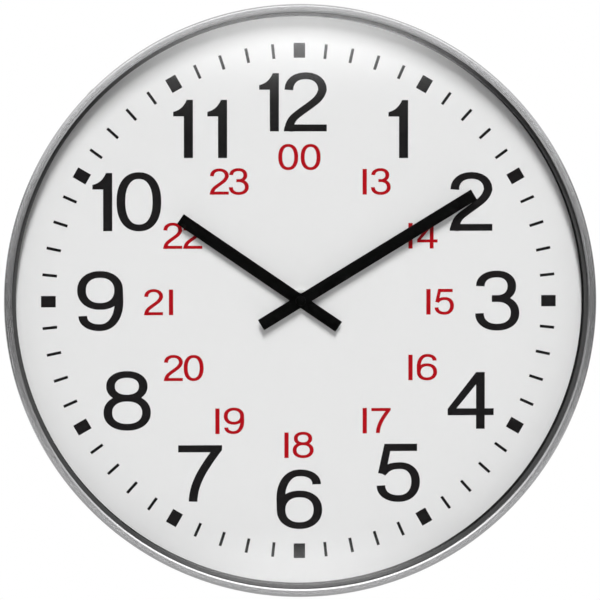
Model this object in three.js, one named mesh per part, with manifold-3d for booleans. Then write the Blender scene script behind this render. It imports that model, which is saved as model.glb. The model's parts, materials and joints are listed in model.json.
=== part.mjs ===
// Round twenty-four hour wall clock with a quartz movement.
// Millimetres. The back lies in the plane y = 0, the dial faces -Y and +Z is up.
// Every piece is built round the hand axis, x = 0 and z = 0, and addPart then moves it
// so that the origin is where the wall screw sits, at the top of the keyhole.

import * as THREE from 'three';
import { mergeVertices } from 'three/addons/utils/BufferGeometryUtils.js';
import Module from 'manifold-3d';

const kernel = await Module();
kernel.setup();

// Clearances
const seatGap = 0.3;
const slipGap = 0.2;
const pressGap = 0.03;

// Case
const caseRadius = 152.5;
const caseDepth = 42;
const caseWall = 1.5;
const caseSteps = 60;
const cornerRadius = 2.4;
const bandWidth = 3.3;
const bevelWidth = 0.9;
const bevelDrop = 0.6;
const lipDepth = 2.8;

// Glass, hoop and dial
const glassThickness = 2;
const gasketThickness = 1;
const gasketReach = 1.4;
const hoopLength = 10.2;
const hoopInset = 1.2;
const hoopWall = 1.6;
const dialThickness = 0.8;
const ringSteps = 56;

// Back pan
const panWall = 1;
const panCorner = 1.5;
const windowSize = 62;
const keyholeHeight = 108;
const keyholeHeadRadius = 4.75;
const keyholeSlotWidth = 5;
const keyholeSlotRise = 11;

// Side screws
const screwRadius = 1.5;
const screwHeadRadius = 2.8;
const screwHeadHeight = 1.6;
const screwLength = 6;
const screwFromBack = 12.5;

// Movement shell
const moveSize = 56;
const moveDepth = 16;
const moveCorner = 4;
const moveWall = 1.4;
const coverThickness = 1.2;
const cushionThickness = 1;
const cushionRadius = 9;
const bushRadius = 3.9;
const bushLength = 4.6;
const washerThickness = 0.5;
const washerRadius = 5.6;
const nutAcrossFlats = 10;
const nutThickness = 2;
const bayWall = 1;
const bayTop = -10.5;
const bayFloorWall = 0.8;

// Arbors on the hand axis, from the inside out
const secondsArborRadius = 0.6;
const tubeBore = secondsArborRadius + seatGap;
const tubeRadius = 1.6;
const pipeBore = tubeRadius + seatGap;
const pipeRadius = 2.5;
const bushBore = pipeRadius + seatGap;
const thinArborRadius = 0.5;
const rotorArborRadius = 0.4;

// Teeth of the running train, in pairs of wheel and pinion
const centreTeeth = 48;
const thirdPinionTeeth = 6;
const thirdTeeth = 45;
const secondsPinionTeeth = 6;
const secondsTeeth = 48;
const middlePinionTeeth = 8;
const middleTeeth = 30;
const rotorPinionTeeth = 6;

// Teeth of the hand train
const cannonTeeth = 10;
const motionTeeth = 30;
const motionPinionTeeth = 8;
const hourTeeth = 32;
const knobTeeth = 12;

// Distances between arbors and the directions that they lie in, seen from the front
const thirdDistance = 10.8;
const thirdDirection = THREE.MathUtils.degToRad(60);
const middleDistance = 11.2;
const middleDirection = THREE.MathUtils.degToRad(-20);
const rotorDistance = 6;
const rotorDirection = THREE.MathUtils.degToRad(10);
const motionDistance = 8.4;
const motionDirection = Math.PI;
const knobDirection = THREE.MathUtils.degToRad(215);
const wheelThickness = 0.9;

// Step motor
const magnetRadius = 2.1;
const magnetLength = 2.2;
const statorHole = 2.4;
const statorRing = 4.4;
const statorThickness = 0.8;
const coreWidth = 2.2;
const statorReach = 25.6;
const coilX = 21.5;
const coilRadius = 2.9;
const spoolFlange = 3.1;
const spoolTube = 1.7;

// Setting knob
const stemRadius = 1.5;

// Places of the posts in the movement, and the sheet contacts of the battery bay
const boardPostSide = 23.5;
const boardPostTop = 13.5;
const boardPostLow = 6.2;
const boardPostInner = 11;
const statorPostSide = 24;
const statorPostTop = 23.8;
const statorPostInner = 15;
const cornerPostTop = 22;
const cornerPostLow = 7;
const contactHalfWidth = 5;
const contactFoot = 15;

// Hands
const minuteAngle = THREE.MathUtils.degToRad(58.6);
const hourAngle = THREE.MathUtils.degToRad(304.3);
const minuteLength = 105.2;
const hourLength = 75;
const tailLength = 24;
const handWidth = 6.2;
const handThickness = 0.6;
const tubeFlat = 1.2;
const capRadius = 2.6;

// Battery
const cellRadius = 7.15;
const cellLength = 49.2;
const nubRadius = 2.7;
const nubLength = 1.3;

// Levels along y, from the glass to the back
const frontFace = -caseDepth;
const glassFront = frontFace + lipDepth;
const glassBack = glassFront + glassThickness;
const hoopFront = glassBack + gasketThickness;
const dialFront = hoopFront + hoopLength;
const dialBack = dialFront + dialThickness;
const moveFront = dialBack + cushionThickness;
const moveBack = moveFront + moveDepth;
const floorLevel = moveFront + moveWall;
const coverFront = moveBack - coverThickness;
const bushEnd = moveFront - bushLength;
const hourWheelFront = floorLevel + seatGap;
const motionFront = hourWheelFront + wheelThickness + seatGap;
const plateFront = motionFront + wheelThickness + 0.4;
const plateBack = plateFront + 0.8;
const centreFront = plateBack + seatGap;
const thirdFront = centreFront + wheelThickness + 0.5;
const secondsFront = thirdFront + 1.3;
const middleFront = secondsFront + 1.2;
const statorFront = middleFront + 1.1;
const statorBack = statorFront + statorThickness;
const magnetFront = middleFront + 1;
const boardBack = coverFront - 1;
const boardFront = boardBack - 1;
const hourHandBack = bushEnd - seatGap;
const hourHandFront = hourHandBack - 1.2 - handThickness;
const pipeEnd = hourHandFront - 0.2;
const minuteHandBack = pipeEnd - seatGap;
const minuteHandFront = minuteHandBack - handThickness - 0.6;
const tubeEnd = minuteHandFront - 1.3;
const screwLevel = -screwFromBack;

// Radii that follow from the case
const lipInnerRadius = caseRadius - bandWidth - bevelWidth;
const caseInnerRadius = caseRadius - caseWall;
const glassRadius = caseInnerRadius - 0.4;
const panRadius = caseInnerRadius - seatGap;
const dialRadius = caseInnerRadius - 0.8;
const hoopInnerRadius = lipInnerRadius - hoopInset;

// Height of the wall screw over the hand axis
const keyholeTop = keyholeHeight + keyholeSlotRise;

function place(distance, direction, from = { x: 0, z: 0 }) {
  return {
    x: from.x + distance * Math.cos(direction),
    z: from.z + distance * Math.sin(direction),
  };
}

const centre = { x: 0, z: 0 };
const thirdAt = place(thirdDistance, thirdDirection);
const middleAt = place(middleDistance, middleDirection);
const rotorAt = place(rotorDistance, rotorDirection, middleAt);
const motionAt = place(motionDistance, motionDirection);
const motionModule = motionDistance / ((cannonTeeth + motionTeeth) / 2);
const knobAt = place((motionModule * (motionTeeth + knobTeeth)) / 2, knobDirection, motionAt);

// Posts that carry the circuit board, the stator and the middle plate
const boardPosts = [
  { x: -boardPostSide, z: boardPostTop },
  { x: -boardPostSide, z: -boardPostLow },
  { x: -boardPostInner, z: boardPostTop },
];
const statorPosts = [
  { x: statorPostSide, z: rotorAt.z },
  { x: statorPostInner, z: statorPostTop },
  { x: statorPostSide, z: statorPostTop },
];
const cornerPosts = [
  { x: -boardPostSide, z: cornerPostTop },
  { x: cornerPostTop, z: cornerPostTop },
  { x: boardPostSide, z: -cornerPostLow },
  { x: -boardPostSide, z: -cornerPostLow },
];

// Closed solid from a geometry: same corners joined, faces turned outward
function toSolid(geometry) {
  const loose = geometry.index ? geometry.toNonIndexed() : geometry;
  const bare = new THREE.BufferGeometry();
  bare.setAttribute('position', loose.getAttribute('position'));
  const joined = mergeVertices(bare, 1e-4);
  const points = joined.getAttribute('position').array;
  const corners = joined.index.array;
  const faces = [];
  let volume = 0;
  for (let i = 0; i < corners.length; i += 3) {
    const [a, b, c] = [corners[i], corners[i + 1], corners[i + 2]];
    if (a === b || b === c || c === a) continue;
    faces.push(a, b, c);
    const [p, q, r] = [a, b, c].map((n) => new THREE.Vector3().fromArray(points, 3 * n));
    volume += p.dot(q.cross(r));
  }
  if (volume < 0) faces.reverse();
  return new kernel.Manifold(new kernel.Mesh({
    numProp: 3,
    vertProperties: new Float32Array(points),
    triVerts: new Uint32Array(faces),
  }));
}

// Solid turned about the hand axis from a closed profile of [radius, y] points
function turned(profile, steps = 16, at = centre) {
  const points = profile.map(([radius, y]) => new THREE.Vector2(radius, y));
  const geometry = new THREE.LatheGeometry(points, steps);
  return toSolid(geometry.translate(at.x, 0, at.z));
}

function ringProfile(inner, outer, front, back) {
  return [[inner, front], [outer, front], [outer, back], [inner, back], [inner, front]];
}

function ring(inner, outer, front, back, steps = 20, at = centre) {
  return turned(ringProfile(inner, outer, front, back), steps, at);
}

function rod(radius, front, back, steps = 12, at = centre) {
  return turned([[0, front], [radius, front], [radius, back], [0, back]], steps, at);
}

// Flat piece: an outline in x and z, thick from front to back along y
function slab(outline, front, back, steps = 3) {
  const options = { depth: back - front, bevelEnabled: false, curveSegments: steps };
  const geometry = new THREE.ExtrudeGeometry(outline, options);
  return toSolid(geometry.rotateX(Math.PI / 2).translate(0, back, 0));
}

function block(x0, x1, y0, y1, z0, z1) {
  const geometry = new THREE.BoxGeometry(x1 - x0, y1 - y0, z1 - z0);
  return toSolid(geometry.translate((x0 + x1) / 2, (y0 + y1) / 2, (z0 + z1) / 2));
}

function roundedOutline(x0, x1, z0, z1, radius) {
  const outline = new THREE.Shape();
  outline.moveTo(x0 + radius, z0);
  outline.lineTo(x1 - radius, z0);
  outline.absarc(x1 - radius, z0 + radius, radius, -Math.PI / 2, 0, false);
  outline.lineTo(x1, z1 - radius);
  outline.absarc(x1 - radius, z1 - radius, radius, 0, Math.PI / 2, false);
  outline.lineTo(x0 + radius, z1);
  outline.absarc(x0 + radius, z1 - radius, radius, Math.PI / 2, Math.PI, false);
  outline.lineTo(x0, z0 + radius);
  outline.absarc(x0 + radius, z0 + radius, radius, Math.PI, 1.5 * Math.PI, false);
  return outline;
}

function polygonOutline(points) {
  return new THREE.Shape(points.map(([x, z]) => new THREE.Vector2(x, z)));
}

function join(first, ...others) {
  return others.reduce((whole, piece) => whole.add(piece), first);
}

function cut(first, ...others) {
  return others.reduce((whole, piece) => whole.subtract(piece), first);
}

// Half a tooth from root to tip: height over the pitch circle in modules, width in pitches
const wheelForm = [{ height: -1.1, width: 0.54 }, { height: 0.8, width: 0.22 }];
const pinionForm = [
  { height: -1.2, width: 0.3 },
  { height: 0, width: 0.36 },
  { height: 0.6, width: 0.16 },
];

function toothedOutline(teeth, module, form, phase) {
  const pitch = (2 * Math.PI) / teeth;
  const radius = (teeth * module) / 2;
  const climb = form.map(({ height, width }) => [radius + height * module, width / 2]);
  const fall = climb.map(([r, share]) => [r, -share]).reverse();
  const outline = [];
  for (let tooth = 0; tooth < teeth; tooth += 1) {
    for (const [r, share] of [...climb, ...fall]) {
      const angle = phase + (tooth - share) * pitch;
      outline.push([r * Math.cos(angle), r * Math.sin(angle)]);
    }
  }
  return outline;
}

function toothed(teeth, module, form, phase, at, front, back) {
  const outline = toothedOutline(teeth, module, form, phase);
  return slab(polygonOutline(outline.map(([x, z]) => [x + at.x, z + at.z])), front, back);
}

// Phase of a gear whose gap faces a tooth of the gear it meshes with
function meshPhase(teeth, phase, otherTeeth, direction) {
  const lead = (direction - phase) / ((2 * Math.PI) / teeth);
  return direction + Math.PI - (0.5 - lead) * ((2 * Math.PI) / otherTeeth);
}

// Ring of round holes that lightens a wheel
function lightening(count, radius, circle, front, back, at) {
  const holes = [];
  for (let i = 0; i < count; i += 1) {
    const hole = place(circle, (2 * Math.PI * (i + 0.5)) / count, at);
    holes.push(rod(radius, front - 1, back + 1, 8, hole));
  }
  return holes;
}

// Bar of a hand that points to twelve and is then turned clockwise by its angle
function handBar(length, angle, front) {
  const half = handWidth / 2;
  const bar = [[-half, -tailLength], [half, -tailLength], [half, length], [-half, length]];
  const outline = new THREE.Shape(bar.map((point) => clockwise(point, angle)));
  return slab(outline, front, front + handThickness);
}

function clockwise([x, z], angle) {
  return new THREE.Vector2(
    x * Math.cos(angle) + z * Math.sin(angle),
    z * Math.cos(angle) - x * Math.sin(angle),
  );
}

function circlePoints(radius, steps) {
  const points = [];
  for (let i = 0; i < steps; i += 1) {
    const angle = (2 * Math.PI * i) / steps;
    points.push([radius * Math.sin(angle), radius * Math.cos(angle)]);
  }
  return points;
}

// Round hole with two flats, as far from the middle as flat
function flattedPoints(radius, flat, steps) {
  return circlePoints(radius, steps).map(([x, z]) => [Math.max(-flat, Math.min(flat, x)), z]);
}

const finishes = {
  brushedCase: { color: 0x8f9090, roughness: 0.35, metalness: 0.9 },
  clear: { color: 0xf4f7f8, roughness: 0.05, metalness: 0, transparent: true, opacity: 0.25 },
  rubber: { color: 0x161616, roughness: 0.9, metalness: 0 },
  dialWhite: { color: 0xe9e9e9, roughness: 0.55, metalness: 0 },
  handBlack: { color: 0x0a0a0a, roughness: 0.55, metalness: 0.2 },
  nickel: { color: 0xc2c2bf, roughness: 0.3, metalness: 0.95 },
  brass: { color: 0xb8965a, roughness: 0.35, metalness: 0.95 },
  panGrey: { color: 0x2a2b2d, roughness: 0.6, metalness: 0.3 },
  steel: { color: 0xa7a9ab, roughness: 0.35, metalness: 0.95 },
  shellBlack: { color: 0x1a1a1b, roughness: 0.6, metalness: 0 },
  gearWhite: { color: 0xe4e2da, roughness: 0.5, metalness: 0 },
  gearBlack: { color: 0x26282b, roughness: 0.5, metalness: 0 },
  magnet: { color: 0x3c3c3f, roughness: 0.5, metalness: 0.6 },
  copper: { color: 0xa8502c, roughness: 0.35, metalness: 0.7 },
  board: { color: 0x2f6b3a, roughness: 0.55, metalness: 0 },
  cell: { color: 0x3a4a55, roughness: 0.4, metalness: 0.3 },
};

const group = new THREE.Group();
group.name = 'twenty_four_hour_wall_clock';

function addPart(name, solid, finish) {
  const { vertProperties, triVerts, numProp } = solid.getMesh();
  const positions = [];
  for (let i = 0; i < vertProperties.length; i += numProp) {
    positions.push(vertProperties[i], vertProperties[i + 1], vertProperties[i + 2] - keyholeTop);
  }
  const geometry = new THREE.BufferGeometry();
  geometry.setAttribute('position', new THREE.Float32BufferAttribute(positions, 3));
  geometry.setIndex([...triVerts]);
  const mesh = new THREE.Mesh(geometry, new THREE.MeshStandardMaterial(finishes[finish]));
  mesh.name = name;
  group.add(mesh);
}

// Case: side wall, rounded front corner, narrow band, bevel and lip
function caseProfile() {
  const profile = [[caseRadius, 0]];
  const cornerSteps = 4;
  for (let i = 0; i <= cornerSteps; i += 1) {
    const angle = (Math.PI / 2) * (i / cornerSteps);
    profile.push([
      caseRadius - cornerRadius * (1 - Math.cos(angle)),
      frontFace + cornerRadius * (1 - Math.sin(angle)),
    ]);
  }
  profile.push([caseRadius - bandWidth, frontFace + 0.15]);
  profile.push([lipInnerRadius, frontFace + 0.15 + bevelDrop]);
  profile.push([lipInnerRadius, glassFront]);
  profile.push([caseInnerRadius, glassFront]);
  profile.push([caseInnerRadius, 0]);
  profile.push([caseRadius, 0]);
  return profile;
}

// Radial rod at a height from the axis, used for side screws and their holes
function radialRod(radius, inner, outer, angle, steps = 10) {
  const geometry = new THREE.CylinderGeometry(radius, radius, outer - inner, steps);
  geometry.rotateZ(Math.PI / 2).translate((inner + outer) / 2, screwLevel, 0);
  return toSolid(geometry.rotateY(-angle));
}

const screwAngles = [45, 135, 225, 315].map((angle) => THREE.MathUtils.degToRad(angle));
const screwHoleRadius = screwRadius + seatGap;
const caseHoles = screwAngles.map((angle) => (
  radialRod(screwHoleRadius, caseInnerRadius - 3, caseRadius + 3, angle)
));
addPart('case_ring', cut(turned(caseProfile(), caseSteps), ...caseHoles), 'brushedCase');

addPart('lens', rod(glassRadius, glassFront, glassBack, caseSteps), 'clear');
const gasket = ring(lipInnerRadius - gasketReach, glassRadius, glassBack, hoopFront, ringSteps);
addPart('lens_gasket', gasket, 'rubber');
const hoop = ring(hoopInnerRadius, hoopInnerRadius + hoopWall, hoopFront, dialFront, ringSteps);
addPart('spacer_hoop', hoop, 'shellBlack');
const dialHole = rod(bushRadius + slipGap, dialFront - 1, dialBack + 1, 20);
addPart('dial_plate', cut(rod(dialRadius, dialFront, dialBack, caseSteps), dialHole), 'dialWhite');

// Back pan: disc with a forward wall, window for the movement, keyhole for the wall screw
const panInnerRadius = panRadius - panWall;
const panProfile = [
  [0, -panWall],
  [panInnerRadius, -panWall],
  [panInnerRadius, dialBack],
  [panRadius, dialBack],
  [panRadius, -panCorner],
  [panRadius - panCorner, 0],
  [0, 0],
];
const windowHalf = windowSize / 2;
const panWindow = slab(
  roundedOutline(-windowHalf, windowHalf, -windowHalf, windowHalf, 5), -3, 2,
);
const keyhole = join(
  rod(keyholeHeadRadius, -3, 2, 24, { x: 0, z: keyholeHeight }),
  block(-keyholeSlotWidth / 2, keyholeSlotWidth / 2, -3, 2, keyholeHeight, keyholeTop),
  rod(keyholeSlotWidth / 2, -3, 2, 16, { x: 0, z: keyholeTop }),
);
const panHoles = screwAngles.map((angle) => (
  radialRod(screwRadius + 0.1, panInnerRadius - 3, panRadius + 3, angle)
));
addPart('back_pan', cut(turned(panProfile, caseSteps), panWindow, keyhole, ...panHoles), 'panGrey');

// Turns a piece that points along +Y so that it points outward at an angle
function aimed(geometry, angle) {
  return geometry.rotateZ(-Math.PI / 2).translate(0, screwLevel, 0).rotateY(-angle);
}

// Side screws with a low domed head that rests on a flat of the case
const headSeat = caseRadius * Math.cos(Math.PI / caseSteps);
const screwProfile = [
  [0, headSeat - screwLength],
  [screwRadius, headSeat - screwLength],
  [screwRadius, headSeat],
  [screwHeadRadius, headSeat],
  [screwHeadRadius, headSeat + 0.7],
  [screwHeadRadius * 0.7, headSeat + 1.3],
  [0, headSeat + screwHeadHeight],
].map(([radius, y]) => new THREE.Vector2(radius, y));
const sideScrew = (angle) => toSolid(aimed(new THREE.LatheGeometry(screwProfile, 12), angle));
screwAngles.forEach((angle, i) => addPart(`case_screw_${i + 1}`, sideScrew(angle), 'steel'));

// Movement housing: tray with the wheel chamber, the battery bay and the bushing
const moveHalf = moveSize / 2;
const chamberHalf = moveHalf - moveWall;
const bayBottom = bayTop - bayWall;
const bayFloor = moveFront + bayFloorWall;
const chamberOutline = roundedOutline(-chamberHalf, chamberHalf, bayTop, chamberHalf, 2.6);
const slotFront = coverFront - 3.2;
const slotWide = 1;
const moveOutline = roundedOutline(-moveHalf, moveHalf, -moveHalf, moveHalf, moveCorner);
const clipSpots = [
  { x: -4, z: chamberHalf, side: 1 },
  { x: 8, z: chamberHalf, side: 1 },
];
const clipWindows = clipSpots.map(({ x }) => (
  block(x - 2.8, x + 2.8, coverFront - 3, coverFront - 1.4, chamberHalf - 0.5, moveHalf + 1)
));
let housing = cut(
  slab(moveOutline, moveFront, moveBack),
  slab(chamberOutline, floorLevel, moveBack + 1),
  block(-chamberHalf, chamberHalf, floorLevel, moveBack + 1, bayTop, 0),
  block(-chamberHalf, chamberHalf, bayFloor, moveBack + 1, -chamberHalf, bayBottom),
  block(-moveHalf - 1, moveHalf + 1, coverFront, moveBack + 1, bayBottom, moveHalf + 1),
  block(-chamberHalf, -chamberHalf + slotWide, slotFront, moveBack, bayBottom - 1, bayTop + 1),
  block(chamberHalf - slotWide, chamberHalf, slotFront, moveBack, bayBottom - 1, bayTop + 1),
  rod(0.9, floorLevel - 0.9, floorLevel + 1, 12, knobAt),
  ...clipWindows,
);
housing = join(
  housing,
  rod(bushRadius, bushEnd, moveFront + 0.5, 20),
  rod(0.7, floorLevel - 0.5, plateBack - seatGap, 12, motionAt),
  ...cornerPosts.map((post) => rod(1.2, floorLevel - 0.5, plateFront, 8, post)),
);
housing = cut(housing, rod(bushBore, bushEnd - 1, floorLevel + 0.5, 20));
addPart('movement_housing', housing, 'shellBlack');

// Middle plate: front pivots of the running train, posts for the stator and the board
const plateHalf = chamberHalf - 0.6;
const plateOutline = roundedOutline(-plateHalf, plateHalf, bayTop + 0.6, plateHalf, 2);
const rotorBossBack = plateBack + 2.6;
let middlePlate = join(
  slab(plateOutline, plateFront, plateBack),
  rod(1.3, plateBack - 0.4, rotorBossBack, 12, rotorAt),
  ...boardPosts.map((post) => rod(1.3, plateBack - 0.4, boardFront, 8, post)),
  ...boardPosts.map((post) => rod(0.6, boardFront - 0.4, boardBack + 0.3, 8, post)),
  ...statorPosts.map((post) => rod(1.3, plateBack - 0.4, statorFront, 8, post)),
  ...statorPosts.map((post) => rod(0.6, statorFront - 0.4, statorBack + 0.3, 8, post)),
);
middlePlate = cut(
  middlePlate,
  rod(tubeRadius + seatGap, plateFront - 1, plateBack + 1, 16),
  rod(thinArborRadius + slipGap, plateFront - 1, plateBack + 1, 12, thirdAt),
  rod(thinArborRadius + slipGap, plateFront - 1, plateBack + 1, 12, middleAt),
  rod(rotorArborRadius + slipGap, plateFront - 1, rotorBossBack + 1, 12, rotorAt),
  rod(0.7 + slipGap, plateFront - 1, plateBack + 1, 12, motionAt),
  rod(stemRadius + seatGap, plateFront - 1, plateBack + 1, 16, knobAt),
);
addPart('middle_plate', middlePlate, 'gearWhite');

// Rear cover: lid with pivot bosses, a hole for the knob stem and two clips
const bossRadius = 1.6;
const bossFront = coverFront - 1.6;
const coverOutline = roundedOutline(-moveHalf, moveHalf, bayBottom + 0.1, moveHalf, moveCorner);
const coverSquare = block(
  -moveHalf, moveHalf, coverFront, moveBack, bayBottom + 0.1, moveHalf - moveCorner,
);
const pivots = [
  { at: centre, hole: secondsArborRadius + slipGap },
  { at: thirdAt, hole: thinArborRadius + slipGap },
  { at: middleAt, hole: thinArborRadius + slipGap },
  { at: rotorAt, hole: rotorArborRadius + slipGap },
];
const clipTop = chamberHalf - 0.2;
const clips = clipSpots.map(({ x }) => join(
  block(x - 2.4, x + 2.4, coverFront - 3.2, coverFront + 0.4, clipTop - 0.8, clipTop),
  block(x - 2.4, x + 2.4, coverFront - 2.8, coverFront - 1.6, clipTop - 0.4, clipTop + 0.8),
));
let cover = join(
  slab(coverOutline, coverFront, moveBack),
  coverSquare,
  ...pivots.map(({ at }) => rod(bossRadius, bossFront, coverFront + 0.4, 12, at)),
  ...clips,
);
cover = cut(
  cover,
  ...pivots.map(({ at, hole }) => rod(hole, bossFront - 1, coverFront + 0.4, 12, at)),
  rod(stemRadius + seatGap, coverFront - 1, moveBack + 1, 16, knobAt),
);
addPart('movement_cover', cover, 'shellBlack');

// Fastening on the dial
addPart('dial_cushion', ring(bushRadius + seatGap, cushionRadius, dialBack, moveFront, 24), 'rubber');
const washerFront = dialFront - washerThickness;
addPart('dial_washer', ring(bushRadius + slipGap, washerRadius, washerFront, dialFront, 20), 'nickel');
const nutRadius = nutAcrossFlats / 2 / Math.cos(Math.PI / 6);
const nutFront = washerFront - nutThickness;
const nutBody = rod(nutRadius, nutFront, washerFront, 6);
addPart('dial_nut', cut(nutBody, rod(bushRadius + pressGap, nutFront - 1, washerFront + 1, 20)), 'nickel');

// Hand train
const hourModule = motionDistance / ((motionPinionTeeth + hourTeeth) / 2);
const motionPhase = meshPhase(cannonTeeth, 0, motionTeeth, motionDirection);
const hourPhase = meshPhase(motionPinionTeeth, 0, hourTeeth, motionDirection + Math.PI);
const knobPhase = meshPhase(motionTeeth, motionPhase, knobTeeth, knobDirection);
const hourWheelBack = hourWheelFront + wheelThickness;
const motionBack = motionFront + wheelThickness;

const hourWheel = cut(
  join(
    toothed(hourTeeth, hourModule, wheelForm, hourPhase, centre, hourWheelFront, hourWheelBack),
    rod(pipeRadius, pipeEnd, hourWheelFront + 0.4, 16),
  ),
  rod(pipeBore, pipeEnd - 1, hourWheelBack + 1, 16),
);
addPart('hour_wheel', hourWheel, 'gearBlack');

const motionWheel = cut(
  join(
    toothed(motionTeeth, motionModule, wheelForm, motionPhase, motionAt, motionFront, motionBack),
    toothed(motionPinionTeeth, hourModule, pinionForm, 0, motionAt,
      hourWheelFront, motionFront + 0.3),
  ),
  rod(0.7 + slipGap, hourWheelFront - 1, motionBack + 1, 12, motionAt),
);
addPart('motion_wheel', motionWheel, 'gearWhite');

// Minute arbor: tube with the cannon pinion, a rear flange and two flats at the front
const centreBack = centreFront + wheelThickness;
const flangeBack = centreBack + 0.2;
const flatSlab = (points, front, back) => (
  slab(new THREE.Shape(points.map((point) => clockwise(point, minuteAngle))), front, back)
);
let minuteArbor = join(
  flatSlab(flattedPoints(tubeRadius, tubeFlat, 16), tubeEnd, minuteHandBack),
  flatSlab(circlePoints(tubeRadius, 16), minuteHandBack, flangeBack),
  toothed(cannonTeeth, motionModule, pinionForm, 0, centre, motionFront, motionBack + 0.1),
  flatSlab(circlePoints(2.2, 16), centreBack, flangeBack),
);
minuteArbor = cut(minuteArbor, rod(tubeBore, tubeEnd - 1, flangeBack + 1, 12));
addPart('minute_arbor', minuteArbor, 'brass');

// Centre wheel: grips the tube with three spring arms between curved slots
const trainModule = (thirdDistance * 2) / (centreTeeth + thirdPinionTeeth);
const thirdModule = (thirdDistance * 2) / (thirdTeeth + secondsPinionTeeth);
const secondsModule = (middleDistance * 2) / (secondsTeeth + middlePinionTeeth);
const middleModule = (rotorDistance * 2) / (middleTeeth + rotorPinionTeeth);

function curvedSlot(inner, outer, from, to) {
  const outline = new THREE.Shape();
  outline.absarc(0, 0, outer, from, to, false);
  outline.absarc(0, 0, inner, to, from, true);
  return outline;
}

const armSlots = [0, 1, 2].map((i) => {
  const from = (2 * Math.PI * i) / 3;
  return slab(curvedSlot(3.2, 4.2, from, from + 1.7), centreFront - 1, centreBack + 1);
});
const centreWheel = cut(
  toothed(centreTeeth, trainModule, wheelForm, 0, centre, centreFront, centreBack),
  flatSlab(circlePoints(tubeRadius + pressGap, 16), centreFront - 1, centreBack + 1),
  ...armSlots,
);
addPart('centre_wheel', centreWheel, 'gearWhite');

// Running train: third, seconds and intermediate wheels with their pinions and arbors
const pivotBack = coverFront - 0.4;
const thirdPhase = meshPhase(centreTeeth, 0, thirdPinionTeeth, thirdDirection);
const thirdBack = thirdFront + wheelThickness - 0.1;
const thirdWheel = join(
  cut(
    toothed(thirdTeeth, thirdModule, wheelForm, 0, thirdAt, thirdFront, thirdBack),
    ...lightening(4, 1.6, 5.4, thirdFront, thirdBack, thirdAt),
  ),
  toothed(thirdPinionTeeth, trainModule, pinionForm, thirdPhase, thirdAt,
    centreFront - 0.1, thirdFront + 0.3),
  rod(thinArborRadius, plateFront + 0.1, pivotBack, 10, thirdAt),
);
addPart('third_wheel', thirdWheel, 'gearWhite');

const secondsPinionPhase = meshPhase(
  thirdTeeth, 0, secondsPinionTeeth, thirdDirection + Math.PI,
);
const secondsBack = secondsFront + wheelThickness - 0.1;
const secondsWheel = join(
  cut(
    toothed(secondsTeeth, secondsModule, wheelForm, 0, centre, secondsFront, secondsBack),
    ...lightening(3, 1.8, 5.2, secondsFront, secondsBack, centre),
  ),
  toothed(secondsPinionTeeth, thirdModule, pinionForm, secondsPinionPhase, centre,
    thirdFront - 0.1, secondsFront + 0.3),
  rod(secondsArborRadius, tubeEnd + 0.3, pivotBack, 10),
);
addPart('seconds_wheel', secondsWheel, 'gearWhite');

const middlePinionPhase = meshPhase(secondsTeeth, 0, middlePinionTeeth, middleDirection);
const middleBack = middleFront + wheelThickness - 0.1;
const middleWheel = join(
  toothed(middleTeeth, middleModule, wheelForm, 0, middleAt, middleFront, middleBack),
  toothed(middlePinionTeeth, secondsModule, pinionForm, middlePinionPhase, middleAt,
    secondsFront - 0.2, middleFront + 0.3),
  rod(thinArborRadius, plateFront + 0.1, pivotBack, 10, middleAt),
);
addPart('intermediate_wheel', middleWheel, 'gearWhite');

// Rotor: pinion moulded on the arbor, with the round magnet pressed over it
const rotorPhase = meshPhase(middleTeeth, 0, rotorPinionTeeth, rotorDirection);
const magnetBack = magnetFront + magnetLength;
const rotorPinion = join(
  toothed(rotorPinionTeeth, middleModule, pinionForm, rotorPhase, rotorAt,
    middleFront - 0.2, magnetFront),
  rod(rotorArborRadius, plateFront + 0.1, pivotBack, 10, rotorAt),
);
addPart('rotor_pinion', rotorPinion, 'gearBlack');
const magnetBore = rotorArborRadius + pressGap;
addPart('rotor_magnet', ring(magnetBore, magnetRadius, magnetFront, magnetBack, 20, rotorAt), 'magnet');

// Stator: ring round the magnet with two arms that reach the ends of the coil core
const coreTop = 25;
let stator = join(
  rod(statorRing, statorFront, statorBack, 24, rotorAt),
  block(rotorAt.x, statorReach, statorFront, statorBack, rotorAt.z - 2.3, rotorAt.z + 2.3),
  block(rotorAt.x - 2.9, rotorAt.x + 0.4, statorFront, statorBack, rotorAt.z, coreTop + 0.4),
  block(rotorAt.x - 2.9, statorReach, statorFront, statorBack, coreTop - 2.8, coreTop + 0.4),
);
stator = cut(
  stator,
  rod(statorHole, statorFront - 1, statorBack + 1, 24, rotorAt),
  ...statorPosts.map((post) => rod(0.8, statorFront - 1, statorBack + 1, 8, post)),
);
addPart('stator', stator, 'steel');

const coreBack = statorBack + statorThickness;
const coreHalf = coreWidth / 2;
const coilLevel = (statorBack + coreBack) / 2;
const coilBottom = rotorAt.z + statorRing + seatGap;
const coilTop = coreTop - 3.3;
addPart('coil_core', block(
  coilX - coreHalf, coilX + coreHalf, statorBack, coreBack, rotorAt.z - 1.6, coreTop,
), 'steel');

// Turned piece whose axis stands upright through the coil
function upright(profile, steps) {
  const points = profile.map(([radius, z]) => new THREE.Vector2(radius, z));
  const geometry = new THREE.LatheGeometry(points, steps);
  return toSolid(geometry.rotateX(Math.PI / 2).translate(coilX, coilLevel, 0));
}

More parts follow.
